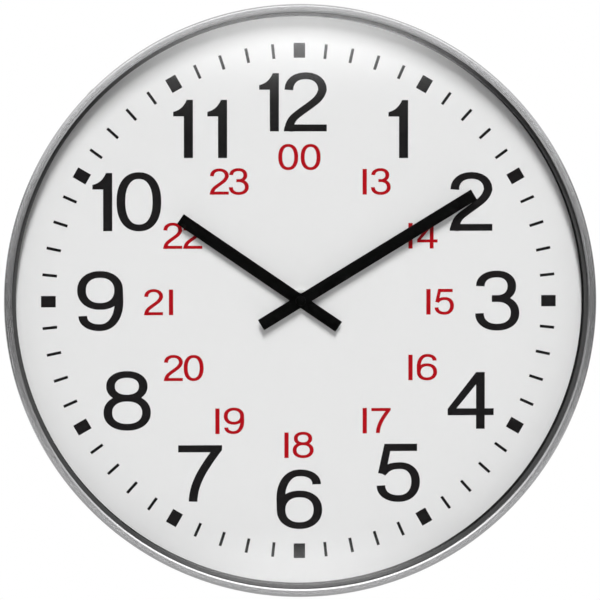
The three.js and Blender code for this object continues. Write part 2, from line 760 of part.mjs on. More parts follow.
const spoolProfile = [
  [0, coilBottom],
  [spoolFlange, coilBottom],
  [spoolFlange, coilBottom + 0.8],
  [spoolTube, coilBottom + 0.8],
  [spoolTube, coilTop - 0.8],
  [spoolFlange, coilTop - 0.8],
  [spoolFlange, coilTop],
  [0, coilTop],
];
const coreHole = block(
  coilX - coreHalf - 0.1, coilX + coreHalf + 0.1,
  statorBack - 0.1, coreBack + 0.1, coilBottom - 1, coilTop + 1,
);
addPart('coil_spool', cut(upright(spoolProfile, 16), coreHole), 'shellBlack');
addPart('coil_winding', upright(
  [
    [spoolTube + pressGap, coilBottom + 0.9],
    [coilRadius, coilBottom + 0.9],
    [coilRadius, coilTop - 0.9],
    [spoolTube + pressGap, coilTop - 0.9],
    [spoolTube + pressGap, coilBottom + 0.9],
  ],
  16,
), 'copper');

// Circuit board with its chip and crystal on the front side
const boardLeft = -25.4;
const boardRight = -9;
const boardBottom = bayTop + 1;
const board = cut(
  slab(roundedOutline(boardLeft, boardRight, boardBottom, 15.6, 0.6), boardFront, boardBack),
  ...boardPosts.map((post) => rod(0.8, boardFront - 1, boardBack + 1, 8, post)),
  rod(stemRadius + 0.6, boardFront - 1, boardBack + 1, 16, knobAt),
);
addPart('circuit_board', board, 'board');
addPart('circuit_chip', turned(
  [[0, boardFront], [3, boardFront], [2.7, boardFront - 0.6], [1.6, boardFront - 1], [0, boardFront - 1.1]],
  12, { x: -17, z: 4 },
), 'shellBlack');
const crystalLevel = boardFront - 1;
const crystalCan = new THREE.CylinderGeometry(1, 1, 6, 12).rotateZ(Math.PI / 2);
const crystalLead = (z) => join(
  block(-14.2, -12.6, crystalLevel - 0.15, crystalLevel + 0.15, z - 0.15, z + 0.15),
  block(-12.9, -12.6, crystalLevel - 0.15, boardFront, z - 0.15, z + 0.15),
);
addPart('quartz_crystal', join(
  toSolid(crystalCan.translate(-17, crystalLevel, 10)),
  crystalLead(9.6),
  crystalLead(10.4),
), 'steel');

// Setting knob: ribbed grip behind the cover, stem and the gear that turns the hand train
const knobRadius = 5;
const knobFront = moveBack + seatGap;
const knobBack = knobFront + 3.4;
const ribs = [];
for (let i = 0; i < 32; i += 1) {
  const radius = i % 2 ? knobRadius : knobRadius - 0.5;
  const angle = (2 * Math.PI * i) / 32;
  ribs.push([knobAt.x + radius * Math.cos(angle), knobAt.z + radius * Math.sin(angle)]);
}
const knob = join(
  slab(polygonOutline(ribs), knobFront, knobBack),
  rod(stemRadius, motionBack, knobFront + 0.5, 12, knobAt),
  toothed(knobTeeth, motionModule, pinionForm, knobPhase, knobAt, motionFront, motionBack + 0.1),
  rod(0.7, floorLevel - 0.6, motionFront + 0.5, 8, knobAt),
);
addPart('setting_knob', knob, 'gearBlack');

// Battery and its two contacts
const cellLevel = (bayFloor + moveBack) / 2;
const cellZ = (bayBottom - chamberHalf) / 2;
const cellLeft = -24.6;
const cellRight = cellLeft + cellLength;
const cellProfile = [
  [0, cellLeft],
  [cellRadius - 0.5, cellLeft],
  [cellRadius, cellLeft + 0.5],
  [cellRadius, cellRight - 0.5],
  [cellRadius - 0.5, cellRight],
  [nubRadius, cellRight],
  [nubRadius, cellRight + nubLength],
  [0, cellRight + nubLength],
].map(([radius, x]) => new THREE.Vector2(radius, x));
const cellShape = new THREE.LatheGeometry(cellProfile, 24).rotateZ(-Math.PI / 2);
addPart('battery', toSolid(cellShape.translate(0, cellLevel, cellZ)), 'cell');

const sheet = 0.4;
const wallX = chamberHalf;
const tabFront = coverFront - 3;
const tabBack = boardBack + sheet;
const plateZ = [-24.5, -13.8];
addPart('contact_plus', join(
  block(
    wallX - sheet, wallX, cellLevel - contactHalfWidth, cellLevel + contactHalfWidth, ...plateZ,
  ),
  block(wallX - sheet, wallX, tabFront, boardBack, -contactFoot, bayTop + 0.4),
  block(boardRight - 2, wallX, tabFront, boardBack, bayTop, bayTop + sheet),
  block(boardRight - 2, boardRight, tabFront, tabBack, bayTop, bayTop + sheet),
  block(boardRight - 2, boardRight, boardBack, tabBack, bayTop, bayTop + 3.4),
), 'steel');

// Leaf that bows from the sheet towards the cell
const leafOutline = polygonOutline([
  [-wallX, plateZ[0]], [-wallX, plateZ[1]],
  [-wallX + sheet, plateZ[1]], [-wallX + sheet, plateZ[0] + 1.4],
  [cellLeft - 0.6, cellZ - 0.9], [cellLeft - 0.6, cellZ + 0.9],
  [-wallX + sheet + 0.4, plateZ[1] - 1.6], [-wallX + sheet + 0.7, plateZ[1] - 1.3],
  [cellLeft - 0.2, cellZ + 1.1], [cellLeft - 0.2, cellZ - 1.1],
  [-wallX + sheet + 0.7, plateZ[0]],
]);
addPart('contact_minus', join(
  slab(leafOutline, cellLevel - 4, cellLevel + 4),
  block(-wallX, -wallX + sheet, tabFront, boardBack, -contactFoot, bayTop + 2.6),
  block(-wallX, boardLeft + 2.4, boardBack, tabBack, bayTop + 0.9, bayTop + 2.6),
  block(-wallX, -wallX + sheet, boardBack - 0.2, tabBack, bayTop + 0.9, bayTop + 2.6),
), 'steel');

// Hands: flat bars, the hour hand on a collet, the minute hand on the flats of the tube
const hourHand = cut(
  join(
    handBar(hourLength, hourAngle, hourHandFront),
    rod(3.4, hourHandFront + 0.2, hourHandBack, 16),
  ),
  rod(pipeRadius + pressGap, hourHandFront - 1, hourHandBack + 1, 16),
);
addPart('hour_hand', hourHand, 'handBlack');

const minuteHole = flattedPoints(tubeRadius + pressGap, tubeFlat + pressGap, 16);
const minuteHand = cut(
  join(
    handBar(minuteLength, minuteAngle, minuteHandFront),
    flatSlab(circlePoints(2.9, 16), minuteHandFront + 0.2, minuteHandBack),
  ),
  flatSlab(minuteHole, minuteHandFront - 1, minuteHandBack + 1),
);
addPart('minute_hand', minuteHand, 'handBlack');

// Domed cap nut that closes the tube
const capProfile = [[0, minuteHandFront - 2.6]];
for (let i = 1; i <= 5; i += 1) {
  const lean = (Math.PI / 2) * (i / 5);
  capProfile.push([capRadius * Math.sin(lean), minuteHandFront - 0.9 - 1.7 * Math.cos(lean)]);
}
capProfile.push([capRadius, minuteHandFront]);
capProfile.push([tubeRadius + pressGap, minuteHandFront]);
capProfile.push([tubeRadius + pressGap, tubeEnd - 0.2]);
capProfile.push([0, tubeEnd - 0.2]);
addPart('hand_nut', turned(capProfile, 16), 'handBlack');

export default group;
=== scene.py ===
import json
import math

import bmesh
import bpy
from mathutils import Matrix, Vector
from mathutils.geometry import delaunay_2d_cdt


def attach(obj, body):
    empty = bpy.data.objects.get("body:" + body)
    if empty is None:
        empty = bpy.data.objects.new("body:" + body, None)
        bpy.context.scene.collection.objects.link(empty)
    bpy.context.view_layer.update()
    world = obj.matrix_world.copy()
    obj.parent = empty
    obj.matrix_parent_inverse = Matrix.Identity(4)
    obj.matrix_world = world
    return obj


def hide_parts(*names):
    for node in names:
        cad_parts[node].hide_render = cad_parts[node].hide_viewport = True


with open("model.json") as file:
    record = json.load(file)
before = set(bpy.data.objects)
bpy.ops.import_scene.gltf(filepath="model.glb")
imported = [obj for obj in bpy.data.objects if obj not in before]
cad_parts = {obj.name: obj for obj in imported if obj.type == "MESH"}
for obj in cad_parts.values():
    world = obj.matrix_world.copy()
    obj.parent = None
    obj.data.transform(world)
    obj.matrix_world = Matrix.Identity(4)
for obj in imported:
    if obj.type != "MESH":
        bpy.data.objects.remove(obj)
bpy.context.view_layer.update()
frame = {"nodes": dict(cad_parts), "record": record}

# Pieces are drawn in millimetres round the hands' axis, then put under the wall screw
handsAxisHeight = -0.119
toFrame = Matrix.Translation((0, 0, handsAxisHeight)) @ Matrix.Scale(0.001, 4)
fullTurn = 2 * math.pi
sharpFrom = math.radians(30)      # edges steeper than this stay sharp
print("frame loaded:", len(frame["nodes"]), "nodes")


# Mesh helpers

def addPiece(name, points, faces, finish, body, slot, replaced=(), place=Matrix()):
    mesh = bpy.data.meshes.new(name)
    mesh.from_pydata([toFrame @ place @ Vector(point) for point in points], [], faces)
    work = bmesh.new()
    work.from_mesh(mesh)
    bmesh.ops.remove_doubles(work, verts=work.verts, dist=1e-7)
    bmesh.ops.recalc_face_normals(work, faces=work.faces)
    work.to_mesh(mesh)
    work.free()
    mesh.shade_smooth()
    mesh.set_sharp_from_angle(angle=sharpFrom)
    mesh.materials.append(finish)
    piece = bpy.data.objects.new(name, mesh)
    bpy.context.scene.collection.objects.link(piece)
    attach(piece, body)
    if replaced:
        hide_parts(*replaced)
    return piece


def roundCorners(corners, steps):
    # corners are (x, y, fillet radius); the outline is closed
    outline = []
    for i, (x, y, fillet) in enumerate(corners):
        here = Vector((x, y))
        if not fillet:
            outline.append((x, y))
            continue
        back = (Vector(corners[i - 1][:2]) - here).normalized()
        ahead = (Vector(corners[(i + 1) % len(corners)][:2]) - here).normalized()
        half = back.angle(ahead) / 2
        middle = here + (back + ahead).normalized() * (fillet / math.sin(half))
        start = here + back * (fillet / math.tan(half)) - middle
        end = here + ahead * (fillet / math.tan(half)) - middle
        turn = start.angle(end)
        for step in range(steps + 1):
            share = step / steps
            arm = (start * math.sin((1 - share) * turn) + end * math.sin(share * turn)) / math.sin(turn)
            outline.append(tuple(middle + arm))
    return outline


def turnProfile(profile, steps):
    # closed profile of (radius, y), turned about the y axis
    points, rings, faces = [], [], []
    for radius, y in profile:
        start = len(points)
        if radius < 1e-6:
            rings.append([start] * steps)
            points.append((0, y, 0))
            continue
        rings.append([start + i for i in range(steps)])
        for i in range(steps):
            angle = fullTurn * i / steps
            points.append((radius * math.sin(angle), y, radius * math.cos(angle)))
    for here, there in zip(rings, rings[1:] + rings[:1]):
        for i in range(steps):
            j = (i + 1) % steps
            face = list(dict.fromkeys((here[i], here[j], there[j], there[i])))
            if len(face) > 2:
                faces.append(face)
    return points, faces


def fillShapes(shapes, holes=()):
    # flat triangles that cover any of the shapes and none of the holes
    corners, loops = [], []
    for loop in [*shapes, *holes]:
        area = sum(a[0] * b[1] - b[0] * a[1] for a, b in zip(loop, loop[1:] + loop[:1]))
        loop = loop if area > 0 else loop[::-1]
        loops.append(list(range(len(corners), len(corners) + len(loop))))
        corners.extend(Vector(point) for point in loop)
    points, _, faces, _, _, owners = delaunay_2d_cdt(corners, [], loops, 0, 1e-5)
    kept = []
    for face, owner in zip(faces, owners):
        if owner and all(n < len(shapes) for n in owner):
            kept.append(list(face))
    return points, kept


def thicken(points, faces, front, back):
    # flat triangles in x and z become a closed slab between two levels of y
    count = len(points)
    solid = [(x, front, z) for x, z in points] + [(x, back, z) for x, z in points]
    uses = {}
    for face in faces:
        for a, b in zip(face, face[1:] + face[:1]):
            uses.setdefault(frozenset((a, b)), []).append((a, b))
    walls = [(b, a, a + count, b + count) for (a, b), *others in uses.values() if not others]
    return solid, faces + [[n + count for n in reversed(face)] for face in faces] + walls


def circle(radius, steps):
    angles = [fullTurn * i / steps for i in range(steps)]
    return [(radius * math.cos(angle), radius * math.sin(angle)) for angle in angles]


def clockwise(point, angle):
    x, z = point
    return (x * math.cos(angle) + z * math.sin(angle), z * math.cos(angle) - x * math.sin(angle))


def softenEdges(piece, width, segments=2):
    bevel = piece.modifiers.new("softEdge", "BEVEL")
    bevel.width = width * 0.001
    bevel.segments = segments
    bevel.limit_method = "ANGLE"
    bevel.angle_limit = math.radians(40)
    bevel.harden_normals = True


# Finishes

def addNode(tree, kind, settings=None, **values):
    node = tree.nodes.new(kind)
    for key, value in (settings or {}).items():
        setattr(node, key, value)
    for key, value in values.items():
        node.inputs[key].default_value = value
    return node


def newGroup(name, inputs, outputs):
    tree = bpy.data.node_groups.new(name, "ShaderNodeTree")
    for label, kind, value in inputs:
        tree.interface.new_socket(label, in_out="INPUT", socket_type=kind).default_value = value
    for label, kind in outputs:
        tree.interface.new_socket(label, in_out="OUTPUT", socket_type=kind)
    return tree, tree.nodes.new("NodeGroupInput"), tree.nodes.new("NodeGroupOutput")


varyInputs = [
    ("Colour", "NodeSocketColor", (0.5, 0.5, 0.5, 1)),
    ("Colour Change", "NodeSocketFloat", 0.05),
    ("Roughness", "NodeSocketFloat", 0.5),
    ("Roughness Change", "NodeSocketFloat", 0.1),
]
varyOutputs = [
    ("Colour", "NodeSocketColor"),
    ("Roughness", "NodeSocketFloat"),
    ("Height", "NodeSocketFloat"),
]


def changeByPattern(tree, given, result, pattern, height):
    # pattern goes from 0 to 1 with its middle at 0.5
    links = tree.links
    centred = addNode(tree, "ShaderNodeMath", {"operation": "SUBTRACT"})
    centred.inputs[1].default_value = 0.5
    links.new(pattern, centred.inputs[0])
    changed = {}
    for label in ("Colour", "Roughness"):
        scaled = addNode(tree, "ShaderNodeMath", {"operation": "MULTIPLY"})
        links.new(centred.outputs[0], scaled.inputs[0])
        links.new(given.outputs[label + " Change"], scaled.inputs[1])
        changed[label] = addNode(tree, "ShaderNodeMath", {"operation": "ADD"})
        links.new(scaled.outputs[0], changed[label].inputs[0])
    changed["Colour"].inputs[1].default_value = 1
    toned = addNode(tree, "ShaderNodeHueSaturation")
    links.new(given.outputs["Colour"], toned.inputs["Color"])
    links.new(changed["Colour"].outputs[0], toned.inputs["Value"])
    links.new(toned.outputs["Color"], result.inputs["Colour"])
    links.new(given.outputs["Roughness"], changed["Roughness"].inputs[1])
    links.new(changed["Roughness"].outputs[0], result.inputs["Roughness"])
    links.new(height, result.inputs["Height"])


def makeFineGrain():
    # even speckle, for paint, plastic, rubber and cast or plated metal
    sizeInput = ("Size", "NodeSocketFloat", 900)
    tree, given, result = newGroup("fineGrain", [*varyInputs, sizeInput], varyOutputs)
    where = addNode(tree, "ShaderNodeTexCoord")
    grain = addNode(tree, "ShaderNodeTexNoise", Detail=3, Roughness=0.6)
    cloud = addNode(tree, "ShaderNodeTexNoise", Scale=35, Detail=2)
    tree.links.new(where.outputs["Object"], grain.inputs["Vector"])
    tree.links.new(where.outputs["Object"], cloud.inputs["Vector"])
    tree.links.new(given.outputs["Size"], grain.inputs["Scale"])
    changeByPattern(tree, given, result, cloud.outputs["Fac"], grain.outputs["Fac"])
    return tree


def makeTurnedGrain():
    # fine lines that run round the hands' axis, as brushing on a lathe leaves them
    linesInput = ("Lines", "NodeSocketFloat", 5000)
    tree, given, result = newGroup("turnedGrain", [*varyInputs, linesInput], varyOutputs)
    where = addNode(tree, "ShaderNodeTexCoord")
    fromAxis = addNode(tree, "ShaderNodeVectorMath", {"operation": "SUBTRACT"})
    fromAxis.inputs[1].default_value = (0, 0, handsAxisHeight)
    split = addNode(tree, "ShaderNodeSeparateXYZ")
    around = addNode(tree, "ShaderNodeMath", {"operation": "ARCTAN2"})
    square = addNode(tree, "ShaderNodeVectorMath", {"operation": "MULTIPLY"})
    square.inputs[1].default_value = (1, 0, 1)
    reach = addNode(tree, "ShaderNodeVectorMath", {"operation": "LENGTH"})
    spread = addNode(tree, "ShaderNodeCombineXYZ")
    across = addNode(tree, "ShaderNodeVectorMath", {"operation": "MULTIPLY"})
    lines = addNode(tree, "ShaderNodeCombineXYZ", X=5)
    streaks = addNode(tree, "ShaderNodeTexNoise", Scale=1, Detail=4, Roughness=0.65)
    links = tree.links
    links.new(where.outputs["Object"], fromAxis.inputs[0])
    links.new(fromAxis.outputs[0], split.inputs[0])
    links.new(fromAxis.outputs[0], square.inputs[0])
    links.new(square.outputs[0], reach.inputs[0])
    links.new(split.outputs["X"], around.inputs[0])
    links.new(split.outputs["Z"], around.inputs[1])
    links.new(around.outputs[0], spread.inputs["X"])
    links.new(reach.outputs["Value"], spread.inputs["Y"])
    links.new(split.outputs["Y"], spread.inputs["Z"])
    links.new(given.outputs["Lines"], lines.inputs["Y"])
    links.new(given.outputs["Lines"], lines.inputs["Z"])
    links.new(spread.outputs[0], across.inputs[0])
    links.new(lines.outputs[0], across.inputs[1])
    links.new(across.outputs[0], streaks.inputs["Vector"])
    changeByPattern(tree, given, result, streaks.outputs["Fac"], streaks.outputs["Fac"])
    return tree


fineGrain = makeFineGrain()
turnedGrain = makeTurnedGrain()


def makeFinish(name, group, values, bump, **shaderValues):
    # Principled shader whose colour, roughness and relief come from a grain group
    finish = bpy.data.materials.new(name)
    finish.use_nodes = True
    tree = finish.node_tree
    shader = tree.nodes["Principled BSDF"]
    for key, value in shaderValues.items():
        shader.inputs[key.replace("_", " ")].default_value = value
    grain = addNode(tree, "ShaderNodeGroup", {"node_tree": group})
    for key, value in values.items():
        grain.inputs[key].default_value = value
    relief = addNode(tree, "ShaderNodeBump", Distance=bump)
    tree.links.new(grain.outputs["Colour"], shader.inputs["Base Color"])
    tree.links.new(grain.outputs["Roughness"], shader.inputs["Roughness"])
    tree.links.new(grain.outputs["Height"], relief.inputs["Height"])
    tree.links.new(relief.outputs["Normal"], shader.inputs["Normal"])
    return finish


def grainValues(colour, change, roughness, roughnessChange, **more):
    return {
        "Colour": (*colour, 1), "Colour Change": change,
        "Roughness": roughness, "Roughness Change": roughnessChange, **more,
    }


def addTangent(finish, turn):
    # the brushing runs round the axis, so highlights spread across it
    tree = finish.node_tree
    tangent = addNode(tree, "ShaderNodeTangent", {"direction_type": "RADIAL", "axis": "Y"})
    shader = tree.nodes["Principled BSDF"]
    shader.inputs["Anisotropic Rotation"].default_value = turn
    tree.links.new(tangent.outputs[0], shader.inputs["Tangent"])


caseFinish = makeFinish(
    "brushedAluminium", turnedGrain,
    grainValues((0.47, 0.47, 0.475), 0.16, 0.26, 0.12, Lines=7000),
    0.00002, Metallic=1, Anisotropic=0.4,
)
addTangent(caseFinish, 0.25)
# hoop wall near black with almost no gloss, which sets how dark the ring round the dial's edge looks
hoopFinish = makeFinish(
    "hoopNearBlack", turnedGrain, grainValues((0.006, 0.006, 0.0062), 0.2, 0.85, 0.1, Lines=3000), 0.00001,
    Specular_IOR_Level=0.02,
)
rubberFinish = makeFinish(
    "blackRubber", fineGrain, grainValues((0.07, 0.07, 0.07), 0.1, 0.8, 0.1, Size=2500), 0.00004,
    Specular_IOR_Level=0.05,
)
dialFinish = makeFinish(
    "dialPaint", fineGrain, grainValues((0.81, 0.81, 0.81), 0.012, 0.5, 0.05, Size=1300), 0.000004,
)
blackInk = makeFinish(
    "blackInk", fineGrain, grainValues((0.0115, 0.0105, 0.011), 0.2, 0.6, 0.08, Size=1800), 0.000003,
    Specular_IOR_Level=0.03,
)
redInk = makeFinish(
    "redInk", fineGrain, grainValues((0.43, 0.003, 0.008), 0.06, 0.5, 0.08, Size=1800), 0.000003,
    Specular_IOR_Level=0.05,
)
handFinish = makeFinish(
    "handPaint", fineGrain, grainValues((0.0008, 0.0008, 0.0008), 0.3, 0.45, 0.06, Size=1500), 0.000004,
    Specular_IOR_Level=0.03,
)
steelFinish = makeFinish(
    "platedSteel", fineGrain, grainValues((0.55, 0.55, 0.54), 0.05, 0.34, 0.08, Size=1600), 0.000006,
    Metallic=1,
)
ironFinish = makeFinish(
    "softIron", fineGrain, grainValues((0.42, 0.42, 0.43), 0.08, 0.4, 0.1, Size=1200), 0.00001, Metallic=1,
)
brassFinish = makeFinish(
    "drawnBrass", fineGrain, grainValues((0.72, 0.5, 0.2), 0.06, 0.3, 0.08, Size=1200), 0.000008,
    Metallic=1,
)
magnetFinish = makeFinish(
    "sinteredMagnet", fineGrain, grainValues((0.07, 0.07, 0.075), 0.2, 0.5, 0.1, Size=3000), 0.00003,
    Metallic=0.6,
)
blackPlastic = makeFinish(
    "blackPlastic", fineGrain, grainValues((0.02, 0.02, 0.021), 0.18, 0.42, 0.12, Size=2600), 0.00005,
)
whitePlastic = makeFinish(
    "whitePlastic", fineGrain, grainValues((0.78, 0.77, 0.72), 0.03, 0.4, 0.08, Size=1800), 0.00001,
)
knobPlastic = makeFinish(
    "knobPlastic", fineGrain, grainValues((0.09, 0.09, 0.092), 0.12, 0.38, 0.1, Size=2400), 0.00003,
)
panPaint = makeFinish(
    "powderPaint", fineGrain, grainValues((0.085, 0.087, 0.09), 0.16, 0.5, 0.14, Size=1100), 0.00016,
)
chipResin = makeFinish(
    "chipResin", fineGrain, grainValues((0.008, 0.008, 0.008), 0.2, 0.25, 0.1, Size=900), 0.00002,
)


def addPattern(finish, texture, output, low, high, stretch):
    # a pattern in the finish's colour, on top of its grain
    tree = finish.node_tree
    where = addNode(tree, "ShaderNodeTexCoord")
    scaled = addNode(tree, "ShaderNodeVectorMath", {"operation": "MULTIPLY"})
    scaled.inputs[1].default_value = stretch
    ramp = addNode(tree, "ShaderNodeValToRGB")
    ramp.color_ramp.elements[0].color = (*low, 1)
    ramp.color_ramp.elements[1].color = (*high, 1)
    tree.links.new(where.outputs["Object"], scaled.inputs[0])
    tree.links.new(scaled.outputs[0], texture.inputs["Vector"])
    tree.links.new(texture.outputs[output], ramp.inputs["Fac"])
    grain = next(node for node in tree.nodes if node.type == "GROUP")
    tree.links.new(ramp.outputs["Color"], grain.inputs["Colour"])
    return ramp.color_ramp


# enamelled wire: a line of painted shade between each turn and the next, standing in for the shade where one
# round turn meets the next
wireFinish = makeFinish(
    "enamelWire", fineGrain, grainValues((0.5, 0.17, 0.06), 0.1, 0.35, 0.1, Size=2000), 0.00001,
    Metallic=0.8,
)
turnShadeWave = addNode(wireFinish.node_tree, "ShaderNodeTexWave", {"bands_direction": "Z"}, Scale=1)
# the darker stop is painted shade, the paler stop is the wire's own colour
addPattern(wireFinish, turnShadeWave, "Fac", (0.2, 0.05, 0.02), (0.6, 0.22, 0.08), (1300, 1300, 1300))

# circuit board: green lacquer over paler tracks
boardFinish = makeFinish(
    "boardLacquer", fineGrain, grainValues((0.03, 0.16, 0.05), 0.1, 0.35, 0.1, Size=1500), 0.00002,
)
tracks = addNode(boardFinish.node_tree, "ShaderNodeTexBrick", Scale=1)
tracks.inputs["Color1"].default_value = (1, 1, 1, 1)
tracks.inputs["Color2"].default_value = (0.9, 0.9, 0.9, 1)
tracks.inputs["Mortar"].default_value = (0, 0, 0, 1)
tracks.inputs["Mortar Size"].default_value = 0.03
addPattern(boardFinish, tracks, "Color", (0.1, 0.36, 0.1), (0.025, 0.14, 0.045), (220, 220, 220))

# cell jacket: printed film, one end in copper colour
jacketValues = {"film": (0.012, 0.016, 0.02), "band": (0.6, 0.24, 0.07), "bandStart": 0.0135}
jacketFinish = makeFinish(
    "cellJacket", fineGrain, grainValues(jacketValues["film"], 0.08, 0.3, 0.06, Size=700), 0.000008,
    Metallic=0.55, Coat_Weight=0.5,
)
ends = addNode(jacketFinish.node_tree, "ShaderNodeTexGradient")
jacketRamp = addPattern(
    jacketFinish, ends, "Fac", jacketValues["film"], jacketValues["band"],
    (0.5 / jacketValues["bandStart"], 0, 0),
)
jacketRamp.interpolation = "CONSTANT"
jacketRamp.elements[1].position = 0.5


def makeGlass():
    # clear glass that lets the lamps' light through to the dial
    glass = bpy.data.materials.new("clearGlass")
    glass.use_nodes = True
    tree = glass.node_tree
    shader = tree.nodes["Principled BSDF"]
    shader.inputs["Base Color"].default_value = (0.991, 0.993, 0.992, 1)
    shader.inputs["Transmission Weight"].default_value = 1
    shader.inputs["IOR"].default_value = 1.5
    where = addNode(tree, "ShaderNodeTexCoord")
    smears = addNode(tree, "ShaderNodeTexNoise", Scale=9, Detail=3)
    smearRange = addNode(tree, "ShaderNodeMapRange")
    smearRange.inputs["To Min"].default_value = 0
    smearRange.inputs["To Max"].default_value = 0.02
    tree.links.new(where.outputs["Object"], smears.inputs["Vector"])
    tree.links.new(smears.outputs["Fac"], smearRange.inputs["Value"])
    tree.links.new(smearRange.outputs["Result"], shader.inputs["Roughness"])
    clear = addNode(tree, "ShaderNodeBsdfTransparent")
    ray = addNode(tree, "ShaderNodeLightPath")
    lampOrBounce = addNode(tree, "ShaderNodeMath", {"operation": "MAXIMUM"})
    both = addNode(tree, "ShaderNodeMixShader")
    tree.links.new(ray.outputs["Is Shadow Ray"], lampOrBounce.inputs[0])
    tree.links.new(ray.outputs["Is Diffuse Ray"], lampOrBounce.inputs[1])
    tree.links.new(lampOrBounce.outputs[0], both.inputs["Fac"])
    tree.links.new(shader.outputs[0], both.inputs[1])
    tree.links.new(clear.outputs[0], both.inputs[2])
    tree.links.new(both.outputs[0], tree.nodes["Material Output"].inputs["Surface"])
    return glass


clearGlass = makeGlass()

# Every CAD node gets the finish of its slot; pieces below replace some of them
slotFinish = {
    "case_aluminium": caseFinish, "clear_glass": clearGlass, "black_rubber": rubberFinish,
    "dial_white": dialFinish, "pan_paint": panPaint, "plated_steel": steelFinish,
    "soft_iron": ironFinish, "black_plastic": blackPlastic, "white_plastic": whitePlastic,
    "brass": brassFinish, "magnet": magnetFinish, "copper_wire": wireFinish,
    "board_green": boardFinish, "chip_resin": chipResin, "cell_jacket": jacketFinish,
    "hand_black": handFinish,
}
for part in frame["record"]["subparts"]:
    node = frame["nodes"][part["node"]]
    node.data.materials.clear()
    node.data.materials.append(slotFinish[part["material_slot"]])
frame["nodes"]["setting_knob"].data.materials[0] = knobPlastic      # paler than the movement
print("finishes made:", len(slotFinish))


# Case: spun ring with a rounded front corner, a narrow band and a bevel, all in one brushed finish
caseValues = {
    "outer": 152.5, "wall": 1.5, "front": -42, "corner": 1.5, "band": 3.3,
    "bevelWide": 0.85, "bevelDeep": 0.45, "glassFront": -39.2, "backEdge": 0.4, "lipEdge": 0.12,
    "steps": 288,
}


def makeCase(v):
    outer, front, inner = v["outer"], v["front"], v["outer"] - v["wall"]
    bandEnd, lip = outer - v["band"], outer - v["band"] - v["bevelWide"]
    corners = [
        (outer, 0, v["backEdge"]), (outer, front, v["corner"]), (bandEnd, front, v["lipEdge"]),
        (lip, front + v["bevelDeep"], v["lipEdge"]), (lip, v["glassFront"], 0.1),
        (inner, v["glassFront"], 0.2), (inner, 0, v["backEdge"]),
    ]
    points, faces = turnProfile(roundCorners(corners, 8), v["steps"])
    addPiece("caseShell", points, faces, caseFinish, "case", "case_aluminium", ["case_ring"])


makeCase(caseValues)

# Rubber ring under the glass and the hoop that holds it off the dial
hoopValues = {"inner": 146.7, "outer": 148.3, "front": -36.2, "back": -26, "edge": 0.2, "steps": 256}
gasketValues = {"inner": 146.5, "outer": 150.6, "front": -37.2, "back": -36.2, "edge": 0.2, "steps": 256}


def makeRing(name, v, finish, slot, replaced):
    corners = [
        (v["inner"], v["front"], v["edge"]), (v["outer"], v["front"], v["edge"]),
        (v["outer"], v["back"], v["edge"]), (v["inner"], v["back"], v["edge"]),
    ]
    profile = roundCorners(corners, 3)
    addPiece(name, *turnProfile(profile, v["steps"]), finish, "case", slot, [replaced])


makeRing("glassGasket", gasketValues, rubberFinish, "black_rubber", "lens_gasket")
makeRing("dialHoop", hoopValues, hoopFinish, "black_plastic", "spacer_hoop")
print("case, gasket and hoop made")


# Printing on the dial: ink lies on the white paint

inkValues = {
    "front": -26.03, "back": -26, "scale": 0.5188, "shiftAcross": -0.3, "shiftUp": -0.4,
    "pen": (4.35, 3.4), "middle": 29.2, "redScale": 0.444, "redPen": (4.5, 3.4), "hourRadius": 103,
    "gaps": {"10": 4.3, "11": 14.3, "12": 4.8}, "nudges": {"1": -0.2, "11": 0.2, "12": -3.3},
}
trackValues = {
    "radius": 129.7, "blockLong": 7.6, "blockWide": 5.9, "tickLong": 7.55, "tickWide": 1.5,
}


def bow(centre, wide, high, start, end, power=2.2, steps=12):
    # part of a rounded loop; angles in degrees, anticlockwise from the right
    points = []
    for i in range(steps + 1):
        angle = math.radians(start + (end - start) * i / steps)
        c, s = math.cos(angle), math.sin(angle)
        points.append((
            centre[0] + wide * math.copysign(abs(c) ** (2 / power), c),
            centre[1] + high * math.copysign(abs(s) ** (2 / power), s),
        ))
    return points


# which knots each step of smoothLine blends between
curveSpans = [[(0, 1), (1, 2), (2, 3)], [(0, 2), (1, 3)], [(1, 2)]]


def smoothLine(points, steps=5):
    # centripetal curve through the points
    path = [Vector(p) for p in points]
    path = [path[0] * 2 - path[1], *path, path[-1] * 2 - path[-2]]
    line = []
    for a, b, c, d in zip(path, path[1:], path[2:], path[3:]):
        knots = [0]
        for start, end in ((a, b), (b, c), (c, d)):
            knots.append(knots[-1] + max((end - start).length, 1e-6) ** 0.5)
        for i in range(steps):
            at = knots[1] + (knots[2] - knots[1]) * i / steps
            level = [a, b, c, d]
            for spans in curveSpans:
                level = [
                    level[k].lerp(level[k + 1], (at - knots[low]) / (knots[high] - knots[low]))
                    for k, (low, high) in enumerate(spans)
                ]
            line.append(tuple(level[0]))
    line.append(tuple(path[-2]))
    return line


def stroke(line, pen, closed=False):
    # the quads that an oval pen draws along a line
    penWide, penHigh = pen
    points = [Vector(p) for p in line]
    rims = []
    for i, here in enumerate(points):
        last, following = points[i - 1], points[(i + 1) % len(points)]
        if not closed and i == 0:
            last = here
        if not closed and i == len(points) - 1:
            following = here
        along = (following - last).normalized()
        normal = Vector((-along.y, along.x))
        size = math.hypot(penWide * normal.x, penHigh * normal.y)
        arm = Vector((penWide ** 2 * normal.x, penHigh ** 2 * normal.y)) / size
        rims.append((here + arm, here - arm))
    pairs = list(zip(rims, rims[1:] + rims[:1] if closed else rims[1:]))
    return [[a, b, d, c] for (a, b), (c, d) in pairs]


def box(x0, y0, x1, y1):
    return [(x0, y0), (x1, y0), (x1, y1), (x0, y1)]


